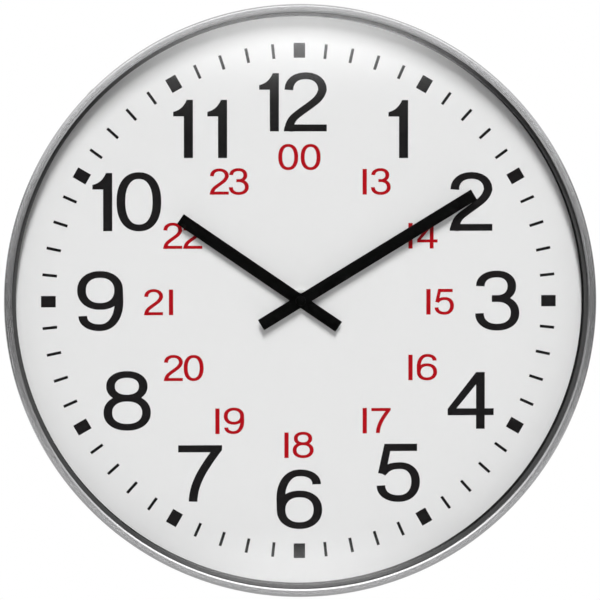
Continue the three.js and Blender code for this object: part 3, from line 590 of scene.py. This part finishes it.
def digitShapes(digit, pen):
    # each digit stands on the line y = 0; strokes are drawn with an oval pen
    if digit == "0":
        return stroke(bow((22.2, 29.2), 17.9, 26, 0, 360, 2.3, 48)[:-1], pen, True), 44.3
    if digit == "1":
        return [
            [(10.6, 0), (19.7, 0), (19.7, 57.9), (13.5, 57.9), (12.2, 55), (10.6, 52.8)],
            [(0, 41.4), (10.6, 41.4), (10.6, 52.8), (9.2, 51), (7.2, 49.2), (5, 47.8), (2.5, 46.7),
             (0, 46)],
        ], 19.7
    if digit == "2":
        line = bow((21.9, 41.2), 16.8, 14.2, 180, 0) + smoothLine([
            (38.7, 41.2), (36.6, 36.1), (32.6, 31.1), (25.4, 25.4),
            (16.9, 19.3), (9.7, 13.3), (6.1, 6.9), (4.6, 0),
        ])[1:]
        return [*stroke(line, pen), [(0, 0), (43, 0), (43, 6.9), (1.8, 6.9), (0.3, 3)]], 43
    if digit == "3":
        upper = bow((22, 43.8), 16.6, 12.2, 180, 90) + bow((22, 43.8), 15.1, 12.2, 90, 0)[1:]
        upper += bow((22, 43.8), 15.1, 12.4, 0, -90)[1:] + [(16.9, 31.4)]
        lower = [(16.9, 31.4)] + bow((22.2, 17), 18.2, 14.4, 90, 0)
        lower += bow((22.2, 17), 18.2, 14.3, 0, -90)[1:] + bow((22.2, 16.7), 17.6, 14, -90, -180)[1:]
        return [*stroke(upper, pen), *stroke(lower, pen)], 45
    if digit == "4":
        return [
            box(0, 13.7, 46.4, 20.6), box(28.6, 0, 37.4, 57),
            [(0, 20.2), (8.6, 20.2), (28.6, 44.6), (28.6, 57)],
        ], 46.4
    if digit == "5":
        bowl = smoothLine([(5.4, 28.1), (10.5, 32.9), (16.5, 35.4), (23.3, 36.1)])[:-1]
        bowl += bow((23.3, 20.2), 16.1, 15.9, 90, 0) + bow((22.3, 20.2), 17.1, 17.2, 0, -90)[1:]
        bowl += bow((22.3, 16.2), 17.7, 13.2, -90, -180)[1:]
        return [
            *stroke(bowl, pen), box(9, 50.7, 40.9, 58),
            [(8, 58), (1.6, 28.6), (9.3, 27.1), (11.1, 36.4), (14, 50.7), (14, 58)],
        ], 44
    if digit in "69":
        arc = bow((23.9, 44.3), 16.8, 11.6, 0, 90) + bow((23.9, 29.7), 19.2, 26.2, 90, 180)[1:] + [(5, 19)]
        loop = bow((23.45, 18.8), 18.45, 15.9, 0, 360, 2.2, 44)[:-1]
        shapes = [*stroke(arc, pen), *stroke(loop, pen, True)]
        if digit == "9":
            shapes = [[(46.7 - x, 59.1 - y) for x, y in shape] for shape in shapes]
        return shapes, 46.7
    if digit == "7":
        stem = smoothLine([(37.4, 50.6), (30.4, 40.8), (21.7, 26.4), (16.8, 14), (15, 4), (14.8, 0.9)])
        bar = [(0, 50.3), (34, 50.3), (40.9, 48.6), (43.9, 52.4), (43.9, 57.4), (0, 57.4)]
        return [*stroke(stem, pen), bar], 43.9
    upperLoop = bow((23.4, 43.9), 16.3, 11.8, 0, 360, 2.2, 40)[:-1]
    lowerLoop = bow((23.65, 17.55), 19.25, 14.55, 0, 360, 2.2, 44)[:-1]
    return [*stroke(upperLoop, pen, True), *stroke(lowerLoop, pen, True)], 47.3


def wordShapes(label, gap, pen, plainOne):
    # the digits of one numeral side by side, with its whole width
    shapes, across = [], 0
    for digit in label:
        if digit == "1" and plainOne:
            drawn, wide = [box(0, 0, 9.7, 57.7)], 9.7
        else:
            drawn, wide = digitShapes(digit, pen)
        shapes += [[(x + across, y) for x, y in shape] for shape in drawn]
        across += wide + gap
    return shapes, across - gap


def printed(points):
    # the whole print sits a little low and left on the plate
    return [(x + inkValues["shiftAcross"], z + inkValues["shiftUp"]) for x, z in points]


def placeNumerals(name, numerals, scale, pen, plainOne, finish):
    # numerals are (label, gap, across, up): the middle of each in millimetres from the axis
    points, faces, middle = [], [], inkValues["middle"]
    for label, gap, across, up in numerals:
        shapes, wide = wordShapes(label, gap, pen, plainOne)
        moved = [
            printed((across + (x - wide / 2) * scale, up + (y - middle) * scale) for x, y in shape)
            for shape in shapes
        ]
        flat, triangles = fillShapes(moved)
        solid, closed = thicken(flat, triangles, inkValues["front"], inkValues["back"])
        faces += [[n + len(points) for n in face] for face in closed]
        points += solid
    addPiece(name, points, faces, finish, "case", "dial_white")


def hourPlaces(v):
    # outer ring: every hour on one circle, a few set apart or aside as on the real dial
    places = []
    for hour in range(1, 13):
        label, angle = str(hour), fullTurn * hour / 12
        side, up = v["hourRadius"] * math.sin(angle), v["hourRadius"] * math.cos(angle)
        places.append((label, v["gaps"].get(label, 0), side + v["nudges"].get(label, 0), up))
    return places


placeNumerals("blackNumerals", hourPlaces(inkValues), inkValues["scale"], inkValues["pen"], False, blackInk)

# inner ring: label, gap between digits, place across and up
smallNumerals = [
    ("00", 6, 0, 74.6), ("13", 9, 40.1, 61.9), ("14", 10, 64.2, 33.9), ("15", 9, 73.2, -0.4),
    ("16", 9, 64.2, -34.5), ("17", 10, 40.2, -62.1), ("18", 9, -0.2, -74.7), ("19", 9, -36.1, -62.1),
    ("20", 2, -60, -34.5), ("21", 13, -72.9, -0.4), ("22", 2, -60.4, 33.9), ("23", 0, -36.3, 61.9),
]
redScale = inkValues["scale"] * inkValues["redScale"]
placeNumerals("redNumerals", smallNumerals, redScale, inkValues["redPen"], True, redInk)


def makeTrack(v):
    points, faces = [], []
    for minute in range(60):
        long, wide = (v["blockLong"], v["blockWide"]) if minute % 5 == 0 else (v["tickLong"], v["tickWide"])
        mark = box(-wide / 2, v["radius"] - long / 2, wide / 2, v["radius"] + long / 2)
        mark = printed(clockwise(point, fullTurn * minute / 60) for point in mark)
        solid, closed = thicken(mark, [[0, 1, 2, 3]], inkValues["front"], inkValues["back"])
        faces += [[n + len(points) for n in face] for face in closed]
        points += solid
    addPiece("minuteTrack", points, faces, blackInk, "case", "dial_white")


makeTrack(trackValues)
print("dial printed")


# Hands: stamped bars with a riveted collet
handValues = {
    "wide": 6.2, "tail": 24, "thick": 0.6, "edge": 0.12, "colletEdge": 0.15,
    "hour": {"long": 75, "angle": 304.3, "front": -30.9, "bore": 2.53, "collet": 3.4, "back": -29.1},
    "minute": {"long": 105.2, "angle": 58.6, "front": -32.6, "bore": 1.63, "collet": 2.9, "back": -31.4},
}


def makeHand(name, v, own, body, replaced):
    half, angle = v["wide"] / 2, math.radians(own["angle"])
    bar = [clockwise(p, angle) for p in box(-half, -v["tail"], half, own["long"])]
    flat, triangles = fillShapes([bar], [circle(own["bore"], 32)])
    front, back = own["front"] + v["thick"], own["back"]
    points, faces = thicken(flat, triangles, own["front"], front)
    piece = addPiece(name, points, faces, handFinish, body, "hand_black", [replaced])
    softenEdges(piece, v["edge"])
    corners = [
        (own["bore"], front, 0), (own["collet"], front, 0),
        (own["collet"], back, v["colletEdge"]), (own["bore"], back, 0),
    ]
    points, faces = turnProfile(roundCorners(corners, 3), 48)
    addPiece(name + "Collet", points, faces, handFinish, body, "hand_black")


makeHand("hourHand", handValues, handValues["hour"], "hour_group", "hour_hand")
makeHand("minuteHand", handValues, handValues["minute"], "minute_group", "minute_hand")

# Domed cap nut, closed over the end of the tube
capValues = {"radius": 2.6, "seat": -32.6, "front": -35.2, "rim": 0.9, "bore": 1.63, "boreEnd": -34.1}


def makeCap(v):
    dome = [(0, v["front"])]
    for i in range(1, 9):
        lean = math.pi / 2 * i / 8
        level = v["seat"] - v["rim"] - (v["seat"] - v["rim"] - v["front"]) * math.cos(lean)
        dome.append((v["radius"] * math.sin(lean), level))
    dome += [(v["radius"], v["seat"]), (v["bore"], v["seat"]), (v["bore"], v["boreEnd"]), (0, v["boreEnd"])]
    addPiece("capNut", *turnProfile(dome, 48), handFinish, "minute_group", "hand_black", ["hand_nut"])


makeCap(capValues)

# Hexagon nut with chamfered corners, and its washer
nutValues = {
    "flats": 10, "front": -28.5, "back": -26.5, "bore": 3.93,
    "chamfer": 0.45, "chamferIn": 0.15, "steps": 96,
}
washerValues = {"outer": 5.6, "inner": 4.1, "front": -26.5, "back": -26, "edge": 0.12, "steps": 64}


def makeNut(v):
    # each ring is the hexagon, cut off where the chamfer's cone is narrower
    flat, steps = v["flats"] / 2, v["steps"]
    narrow, wide = flat - v["chamferIn"], flat / math.cos(math.pi / 6) + 0.01
    front, back = v["front"], v["back"]
    rings = [(front, narrow), (front + v["chamfer"], wide), (back - v["chamfer"], wide), (back, narrow)]
    rings += [(back, v["bore"]), (front, v["bore"])]
    points, faces = [], []
    for y, limit in rings:
        for i in range(steps):
            angle = fullTurn * i / steps
            hexagon = flat / math.cos((angle + math.pi / 6) % (math.pi / 3) - math.pi / 6)
            radius = min(hexagon, limit)
            points.append((radius * math.sin(angle), y, radius * math.cos(angle)))
    for here in range(len(rings)):
        there = (here + 1) % len(rings)
        for i in range(steps):
            j = (i + 1) % steps
            faces.append((here * steps + i, here * steps + j, there * steps + j, there * steps + i))
    addPiece("dialNut", points, faces, steelFinish, "case", "plated_steel", ["dial_nut"])


makeNut(nutValues)
makeRing("dialWasher", washerValues, steelFinish, "plated_steel", "dial_washer")
print("hands and centre made")


# Side screws with a domed head and a cross recess
screwValues = {
    "headRadius": 2.8, "headHeight": 0.9, "headRim": 0.3, "shank": 1.5, "seat": 152.4, "long": 6,
    "level": -12.5, "slotLong": 1.5, "slotWide": 0.3, "slotDeep": 0.6, "steps": 40,
}


def outward(angle, level):
    # turns a piece along +y so that it points outward from the hands' axis
    onSide = Matrix.Translation((0, level, 0)) @ Matrix.Rotation(-math.pi / 2, 4, "Z")
    return Matrix.Rotation(-angle, 4, "Y") @ onSide


def cutOut(piece, points, faces):
    # takes a closed shape out of a piece and keeps the result as its mesh
    mesh = bpy.data.meshes.new(piece.name + "Cut")
    mesh.from_pydata(points, [], faces)
    cutter = bpy.data.objects.new(piece.name + "Cut", mesh)
    bpy.context.scene.collection.objects.link(cutter)
    recess = piece.modifiers.new("recess", "BOOLEAN")
    recess.object = cutter
    recess.solver = "EXACT"
    bpy.context.view_layer.update()
    shaped = bpy.data.meshes.new_from_object(piece.evaluated_get(bpy.context.evaluated_depsgraph_get()))
    piece.modifiers.clear()
    piece.data = shaped
    bpy.data.objects.remove(cutter)


def makeScrews(v):
    top, foot, rim = v["seat"] + v["headHeight"], v["seat"] - v["long"], v["seat"] + v["headRim"]
    profile = [(0, foot), (v["shank"], foot), (v["shank"], v["seat"])]
    profile += [(v["headRadius"], v["seat"]), (v["headRadius"], rim)]
    for i in range(1, 6):
        lean = math.pi / 2 * i / 6
        profile.append((v["headRadius"] * math.cos(lean), rim + (top - rim) * math.sin(lean)))
    profile.append((0, top))
    bar = box(-v["slotWide"], -v["slotLong"], v["slotWide"], v["slotLong"])
    cross = [bar, [clockwise(p, math.pi / 2) for p in bar]]
    slots, slotFaces = thicken(*fillShapes(cross), top - v["slotDeep"], top + 1)
    for number, degrees in enumerate((45, 135, 225, 315), 1):
        place = outward(math.radians(degrees), v["level"])
        points, faces = turnProfile(profile, v["steps"])
        screw = addPiece(
            f"sideScrew{number}", points, faces, steelFinish, "case", "plated_steel",
            [f"case_screw_{number}"], place,
        )
        cutOut(screw, [toFrame @ place @ Vector(p) for p in slots], slotFaces)


makeScrews(screwValues)

# Back pan: pressed sheet with a rolled corner, a shallow ring groove, window and keyhole
panValues = {
    "outer": 150.7, "wall": 1, "front": -25.2, "corner": 1.5, "flat": 122, "steps": 240,
    "grooveAt": 134, "grooveWide": 7, "grooveDeep": 0.7, "grooveSlope": 1.4, "grooveEdge": 1.5,
    "window": 31, "windowCorner": 5, "headRadius": 4.75, "headHeight": 108, "slotHalf": 2.5, "slotTop": 119,
}


def keyholeLine(v):
    # round hole for the screw's head, narrow slot above it
    lean = math.asin(v["slotHalf"] / v["headRadius"])
    line = []
    for i in range(33):
        angle = lean + (fullTurn - 2 * lean) * i / 32
        up = v["headHeight"] + v["headRadius"] * math.cos(angle)
        line.append((v["headRadius"] * math.sin(angle), up))
    for i in range(13):
        angle = math.pi - math.pi * i / 12
        line.append((v["slotHalf"] * math.cos(angle), v["slotTop"] + v["slotHalf"] * math.sin(angle)))
    return line


def makePan(v):
    outer, inner, wall, edge = v["outer"], v["outer"] - v["wall"], v["wall"], v["grooveEdge"]
    grooveStart, grooveEnd = v["grooveAt"] - v["grooveWide"] / 2, v["grooveAt"] + v["grooveWide"] / 2
    back = [
        (v["flat"], 0, 0), (grooveStart, 0, edge), (grooveStart + v["grooveSlope"], -v["grooveDeep"], edge),
        (grooveEnd - v["grooveSlope"], -v["grooveDeep"], edge), (grooveEnd, 0, edge),
    ]
    front = [(r, y - wall, fillet) for r, y, fillet in reversed(back)]
    corners = back + [(outer, 0, v["corner"]), (outer, v["front"], 0.2), (inner, v["front"], 0.2)]
    corners += [(inner, -wall, 0.5)] + front
    profile = roundCorners(corners, 4)
    points, faces = turnProfile(profile, v["steps"])
    # the turned profile is closed, so its inner wall at the flat part comes off again
    last, steps = len(profile) - 1, v["steps"]
    faces = [face for face in faces if not (min(face) < steps and max(face) >= last * steps)]
    angles = [fullTurn * i / steps for i in range(steps)]
    rim = [(v["flat"] * math.sin(angle), v["flat"] * math.cos(angle)) for angle in angles]
    w, c = v["window"], v["windowCorner"]
    window = roundCorners([(-w, -w, c), (w, -w, c), (w, w, c), (-w, w, c)], 6)
    flat, triangles = fillShapes([rim], [window, keyholeLine(v)])
    solid, closed = thicken(flat, triangles, -wall, 0)
    # the slab's outer wall comes off where the turned part carries on
    joinedFrom = v["flat"] - 1e-3
    for face in closed:
        reach = min(math.hypot(solid[n][0], solid[n][2]) for n in face)
        levels = {solid[n][1] for n in face}
        if reach <= joinedFrom or len(levels) == 1:
            faces.append([n + len(points) for n in face])
    addPiece("backPan", points + solid, faces, panPaint, "case", "pan_paint", ["back_pan"])


makePan(panValues)
print("back pan and screws made")


# Setting knob: a finely ribbed rim and a grip bar on the back of the plain knob
knobValues = {
    "ribs": 32, "radius": 5.25, "ribDeep": 0.3, "rim": 4, "rimDeep": 3.2, "raised": 0.45,
    "barLong": 3, "barHalf": 0.55, "barDeep": 0.2, "turned": 40, "edge": 0.1,
}


def makeKnob(v):
    knob = frame["nodes"]["setting_knob"]
    spots = [toFrame.inverted() @ knob.matrix_world @ corner.co for corner in knob.data.vertices]
    face = max(spot.y for spot in spots)
    grip = [spot for spot in spots if spot.y > face - 0.1]
    centre = sum((Vector((spot.x, spot.z)) for spot in grip), Vector((0, 0))) / len(grip)
    place = Matrix.Translation((centre.x, 0, centre.y)) @ Matrix.Rotation(math.radians(v["turned"]), 4, "Y")
    ribs = []
    for i in range(v["ribs"] * 4):
        radius = v["radius"] - v["ribDeep"] * (i % 4 > 1)
        angle = fullTurn * i / (v["ribs"] * 4)
        ribs.append((radius * math.cos(angle), radius * math.sin(angle)))
    rim = fillShapes([ribs], [circle(v["rim"], 48)])
    half, long = v["barHalf"], v["barLong"]
    outline = [(-long, -half, half), (long, -half, half), (long, half, half), (-long, half, half)]
    bar = fillShapes([roundCorners(outline, 6)])
    for name, flat, deep in (("knobRim", rim, v["rimDeep"]), ("knobBar", bar, v["barDeep"])):
        points, faces = thicken(*flat, face - deep, face + v["raised"])
        piece = addPiece(name, points, faces, knobPlastic, "knob_group", "black_plastic", (), place)
        softenEdges(piece, v["edge"])


makeKnob(knobValues)
print("knob made")


# Battery: a steel can with a button, and the printed film round it
cellValues = {
    "left": -24.6, "right": 24.6, "level": -15.8, "height": -19.05, "radius": 7.15, "steps": 64,
    "film": 0.12, "filmLap": 1.4, "nub": 2.7, "nubLong": 1.3,
    "grooveOuter": 4.6, "grooveInner": 3.4, "grooveDeep": 0.4,
}


def makeCell(v):
    # turned about y, then laid along x
    place = Matrix.Translation((0, v["level"], v["height"])) @ Matrix.Rotation(-math.pi / 2, 4, "Z")
    can, nub, low = v["radius"] - v["film"], v["nub"], v["left"] + 0.2
    cap, tip = v["right"] - 0.6, v["right"] + v["nubLong"]
    floor = cap - v["grooveDeep"]
    corners = [
        (0, low, 0), (can - 1.2, low, 0), (can - 1, low + 0.3, 0.1), (can, low + 0.3, 0.3), (can, cap, 0.5),
        (v["grooveOuter"], cap, 0.2), (v["grooveOuter"] - 0.4, floor, 0.2), (v["grooveInner"], floor, 0.2),
        (nub + 0.3, floor + 0.8, 0.3), (nub, floor + 0.8, 0.1), (nub, tip, 0.4), (0, tip, 0),
    ]
    inside, lap = can + 0.01, can - v["filmLap"]
    filmCorners = [
        (inside, v["left"] + 0.6, 0), (v["radius"], v["left"] + 0.4, 0), (v["radius"], v["right"] - 0.4, 0.3),
        (lap, v["right"] - 0.35, 0), (lap, v["right"] - 0.55, 0), (inside, v["right"] - 0.55, 0),
    ]
    points, faces = turnProfile(roundCorners(corners, 3), v["steps"])
    addPiece("cellCan", points, faces, steelFinish, "battery_group", "cell_jacket", ["battery"], place)
    points, faces = turnProfile(roundCorners(filmCorners, 4), v["steps"])
    addPiece("cellFilm", points, faces, jacketFinish, "battery_group", "cell_jacket", (), place)


makeCell(cellValues)
print("battery made")


# Stage: a pale floor, one soft lamp over the camera, two weak fills, and cards that only metal and glass show
stageValues = {
    "floorHeight": -0.62, "floorRadius": 1.3, "floorTone": 0.86, "fadeFrom": 0.45, "steps": 96,
    "ambient": 0.09,
}
fillValues = {
    "frontFill": {"radiance": 1.6, "wide": 3, "place": (0, -8, 0)},
    "backFill": {"radiance": 5, "wide": 1.6, "place": (0.9, 2.4, 1.5)},
}
lampValues = {"radiance": 50, "low": 3.56, "high": 9.57, "wide": 1, "away": -9}
cardValues = {
    "half": 2, "low": -2, "high": 2.6, "away": -1.9, "back": 0.2, "strength": 7,
    "wingLow": -1.6, "wingHigh": 0.9, "wingTone": 0.16,
    "tones": [
        (-0.5, 0.2), (-0.43, 3), (-0.372, 3.2), (-0.337, 0.75), (-0.31, 0.003),
        (0.11, 0.003), (0.151, 0.2), (0.187, 1.9), (0.213, 4.5), (0.2275, 6.3), (0.232, 1.5),
        (0.27, 0.8), (0.5, 1.1), (1.4, 1.1), (1.8, 4),
    ],
}
cameraValues = {"aim": (-0.0007, -0.0396, -0.1183), "distance": 1.8, "left": 3.2, "above": 2.2, "lens": 210}


def makeFloor(v):
    work = bmesh.new()
    bmesh.ops.create_circle(work, cap_ends=True, radius=v["floorRadius"], segments=v["steps"])
    mesh = bpy.data.meshes.new("floor")
    work.to_mesh(mesh)
    work.free()
    floor = bpy.data.objects.new("floor", mesh)
    floor.location = (0, 0, v["floorHeight"])
    bpy.context.scene.collection.objects.link(floor)
    paint = bpy.data.materials.new("floorPaint")
    paint.use_nodes = True
    tree = paint.node_tree
    shader = tree.nodes["Principled BSDF"]
    shader.inputs["Base Color"].default_value = (*[v["floorTone"]] * 3, 1)
    shader.inputs["Roughness"].default_value = 0.8
    where = addNode(tree, "ShaderNodeTexCoord")
    reach = addNode(tree, "ShaderNodeVectorMath", {"operation": "LENGTH"})
    fade = addNode(tree, "ShaderNodeMapRange", {"interpolation_type": "SMOOTHSTEP"})
    fade.inputs["From Min"].default_value = v["fadeFrom"]
    fade.inputs["From Max"].default_value = v["floorRadius"]
    ray = addNode(tree, "ShaderNodeLightPath")
    seen = addNode(tree, "ShaderNodeMath", {"operation": "MAXIMUM"})
    share = addNode(tree, "ShaderNodeMath", {"operation": "MULTIPLY"})
    white = addNode(tree, "ShaderNodeEmission")
    both = addNode(tree, "ShaderNodeMixShader")
    links = tree.links
    links.new(where.outputs["Object"], reach.inputs[0])
    links.new(reach.outputs["Value"], fade.inputs["Value"])
    links.new(ray.outputs["Is Camera Ray"], seen.inputs[0])
    links.new(ray.outputs["Is Glossy Ray"], seen.inputs[1])
    links.new(fade.outputs["Result"], share.inputs[0])
    links.new(seen.outputs[0], share.inputs[1])
    links.new(share.outputs[0], both.inputs["Fac"])
    links.new(shader.outputs[0], both.inputs[1])
    links.new(white.outputs[0], both.inputs[2])
    links.new(both.outputs[0], tree.nodes["Material Output"].inputs["Surface"])
    mesh.materials.append(paint)


def makeWorld(v):
    # white where it is seen or mirrored, a plain soft level where it lights
    world = bpy.data.worlds.new("studio")
    world.use_nodes = True
    tree = world.node_tree
    ground = tree.nodes["Background"]
    ground.inputs["Color"].default_value = (1, 1, 1, 1)
    ray = addNode(tree, "ShaderNodeLightPath")
    seen = addNode(tree, "ShaderNodeMath", {"operation": "MAXIMUM"})
    through = addNode(tree, "ShaderNodeMath", {"operation": "MAXIMUM"})
    level = addNode(tree, "ShaderNodeMapRange")
    level.inputs["To Min"].default_value = v["ambient"]
    level.inputs["To Max"].default_value = 1
    tree.links.new(ray.outputs["Is Camera Ray"], seen.inputs[0])
    tree.links.new(ray.outputs["Is Glossy Ray"], seen.inputs[1])
    tree.links.new(seen.outputs[0], through.inputs[0])
    tree.links.new(ray.outputs["Is Transmission Ray"], through.inputs[1])
    tree.links.new(through.outputs[0], level.inputs["Value"])
    tree.links.new(level.outputs["Result"], ground.inputs["Strength"])
    bpy.context.scene.world = world


def makeLamp(v):
    high, low = v["high"] + handsAxisHeight, v["low"] + handsAxisHeight
    lamp = bpy.data.lights.new("softLamp", "AREA")
    lamp.shape = "RECTANGLE"
    lamp.size = v["wide"]
    lamp.size_y = high - low
    lamp.energy = v["radiance"] * 4 * v["wide"] * (high - low)
    holder = bpy.data.objects.new("softLamp", lamp)
    holder.location = (0, v["away"], (high + low) / 2)
    holder.rotation_euler = (math.pi / 2, 0, 0)
    holder.visible_glossy = False      # gloss comes from the cards and the world
    bpy.context.scene.collection.objects.link(holder)


def makeFill(name, v):
    # weak and wide, so that no side is left in the dark
    lamp = bpy.data.lights.new(name, "AREA")
    lamp.size = v["wide"]
    lamp.energy = v["radiance"] * 4 * v["wide"] ** 2
    holder = bpy.data.objects.new(name, lamp)
    holder.location = v["place"]
    towardDial = Vector((0, 0, handsAxisHeight)) - holder.location
    holder.rotation_euler = towardDial.to_track_quat("-Z", "Y").to_euler()
    holder.visible_glossy = False
    bpy.context.scene.collection.objects.link(holder)


def mirrorPiece(name, corners, tone):
    # shown only by gloss and through glass
    mesh = bpy.data.meshes.new(name)
    mesh.from_pydata(corners, [], [(0, 1, 2, 3)])
    mesh.materials.append(tone)
    card = bpy.data.objects.new(name, mesh)
    bpy.context.scene.collection.objects.link(card)
    card.visible_camera = False
    card.visible_diffuse = False
    card.visible_shadow = False


def makeCards(v):
    # what the glass and the metal mirror: dark round the camera, pale above and below, grey wings
    high, low = v["high"] + handsAxisHeight, v["low"] + handsAxisHeight
    half, away = v["half"], v["away"]
    tone = bpy.data.materials.new("cardTone")
    tone.use_nodes = True
    tree = tone.node_tree
    where = addNode(tree, "ShaderNodeTexCoord")
    split = addNode(tree, "ShaderNodeSeparateXYZ")
    share = addNode(tree, "ShaderNodeMapRange")
    share.inputs["From Min"].default_value = low
    share.inputs["From Max"].default_value = high
    ramp = addNode(tree, "ShaderNodeValToRGB")
    stops = ramp.color_ramp.elements
    for number, (height, level) in enumerate(v["tones"]):
        place = (height - v["low"]) / (v["high"] - v["low"])
        stop = stops[number] if number < 2 else stops.new(place)
        stop.position = place
        stop.color = (*[level / v["strength"]] * 3, 1)
    glow = addNode(tree, "ShaderNodeEmission", Strength=v["strength"])
    tree.links.new(where.outputs["Object"], split.inputs[0])
    tree.links.new(split.outputs["Z"], share.inputs["Value"])
    tree.links.new(share.outputs["Result"], ramp.inputs["Fac"])
    tree.links.new(ramp.outputs["Color"], glow.inputs["Color"])
    tree.links.new(glow.outputs[0], tree.nodes["Material Output"].inputs["Surface"])
    mirrorPiece(
        "frontCard", [(-half, away, low), (half, away, low), (half, away, high), (-half, away, high)], tone,
    )
    wing = bpy.data.materials.new("wingTone")
    wing.use_nodes = True
    tree = wing.node_tree
    glow = addNode(tree, "ShaderNodeEmission", Color=(*[v["wingTone"]] * 3, 1))
    tree.links.new(glow.outputs[0], tree.nodes["Material Output"].inputs["Surface"])
    bottom, top, back = v["wingLow"] + handsAxisHeight, v["wingHigh"] + handsAxisHeight, v["back"]
    for name, x in (("leftWing", -half), ("rightWing", half)):
        mirrorPiece(name, [(x, away, bottom), (x, back, bottom), (x, back, top), (x, away, top)], wing)


def makeCamera(v):
    lens = bpy.data.cameras.new("photoCamera")
    lens.lens = v["lens"]
    lens.sensor_width = 36
    lens.clip_start = 0.01
    camera = bpy.data.objects.new("photoCamera", lens)
    left, above = math.radians(v["left"]), math.radians(v["above"])
    away = Vector((-math.sin(left) * math.cos(above), -math.cos(left) * math.cos(above), math.sin(above)))
    camera.location = Vector(v["aim"]) + away * v["distance"]
    camera.rotation_euler = (-away).to_track_quat("-Z", "Y").to_euler()
    bpy.context.scene.collection.objects.link(camera)
    bpy.context.scene.camera = camera


makeFloor(stageValues)
makeWorld(stageValues)
makeLamp(lampValues)
for name, fill in fillValues.items():
    makeFill(name, fill)
makeCards(cardValues)
makeCamera(cameraValues)
bpy.context.scene.view_settings.view_transform = "Standard"
print("stage, lamps and camera made")
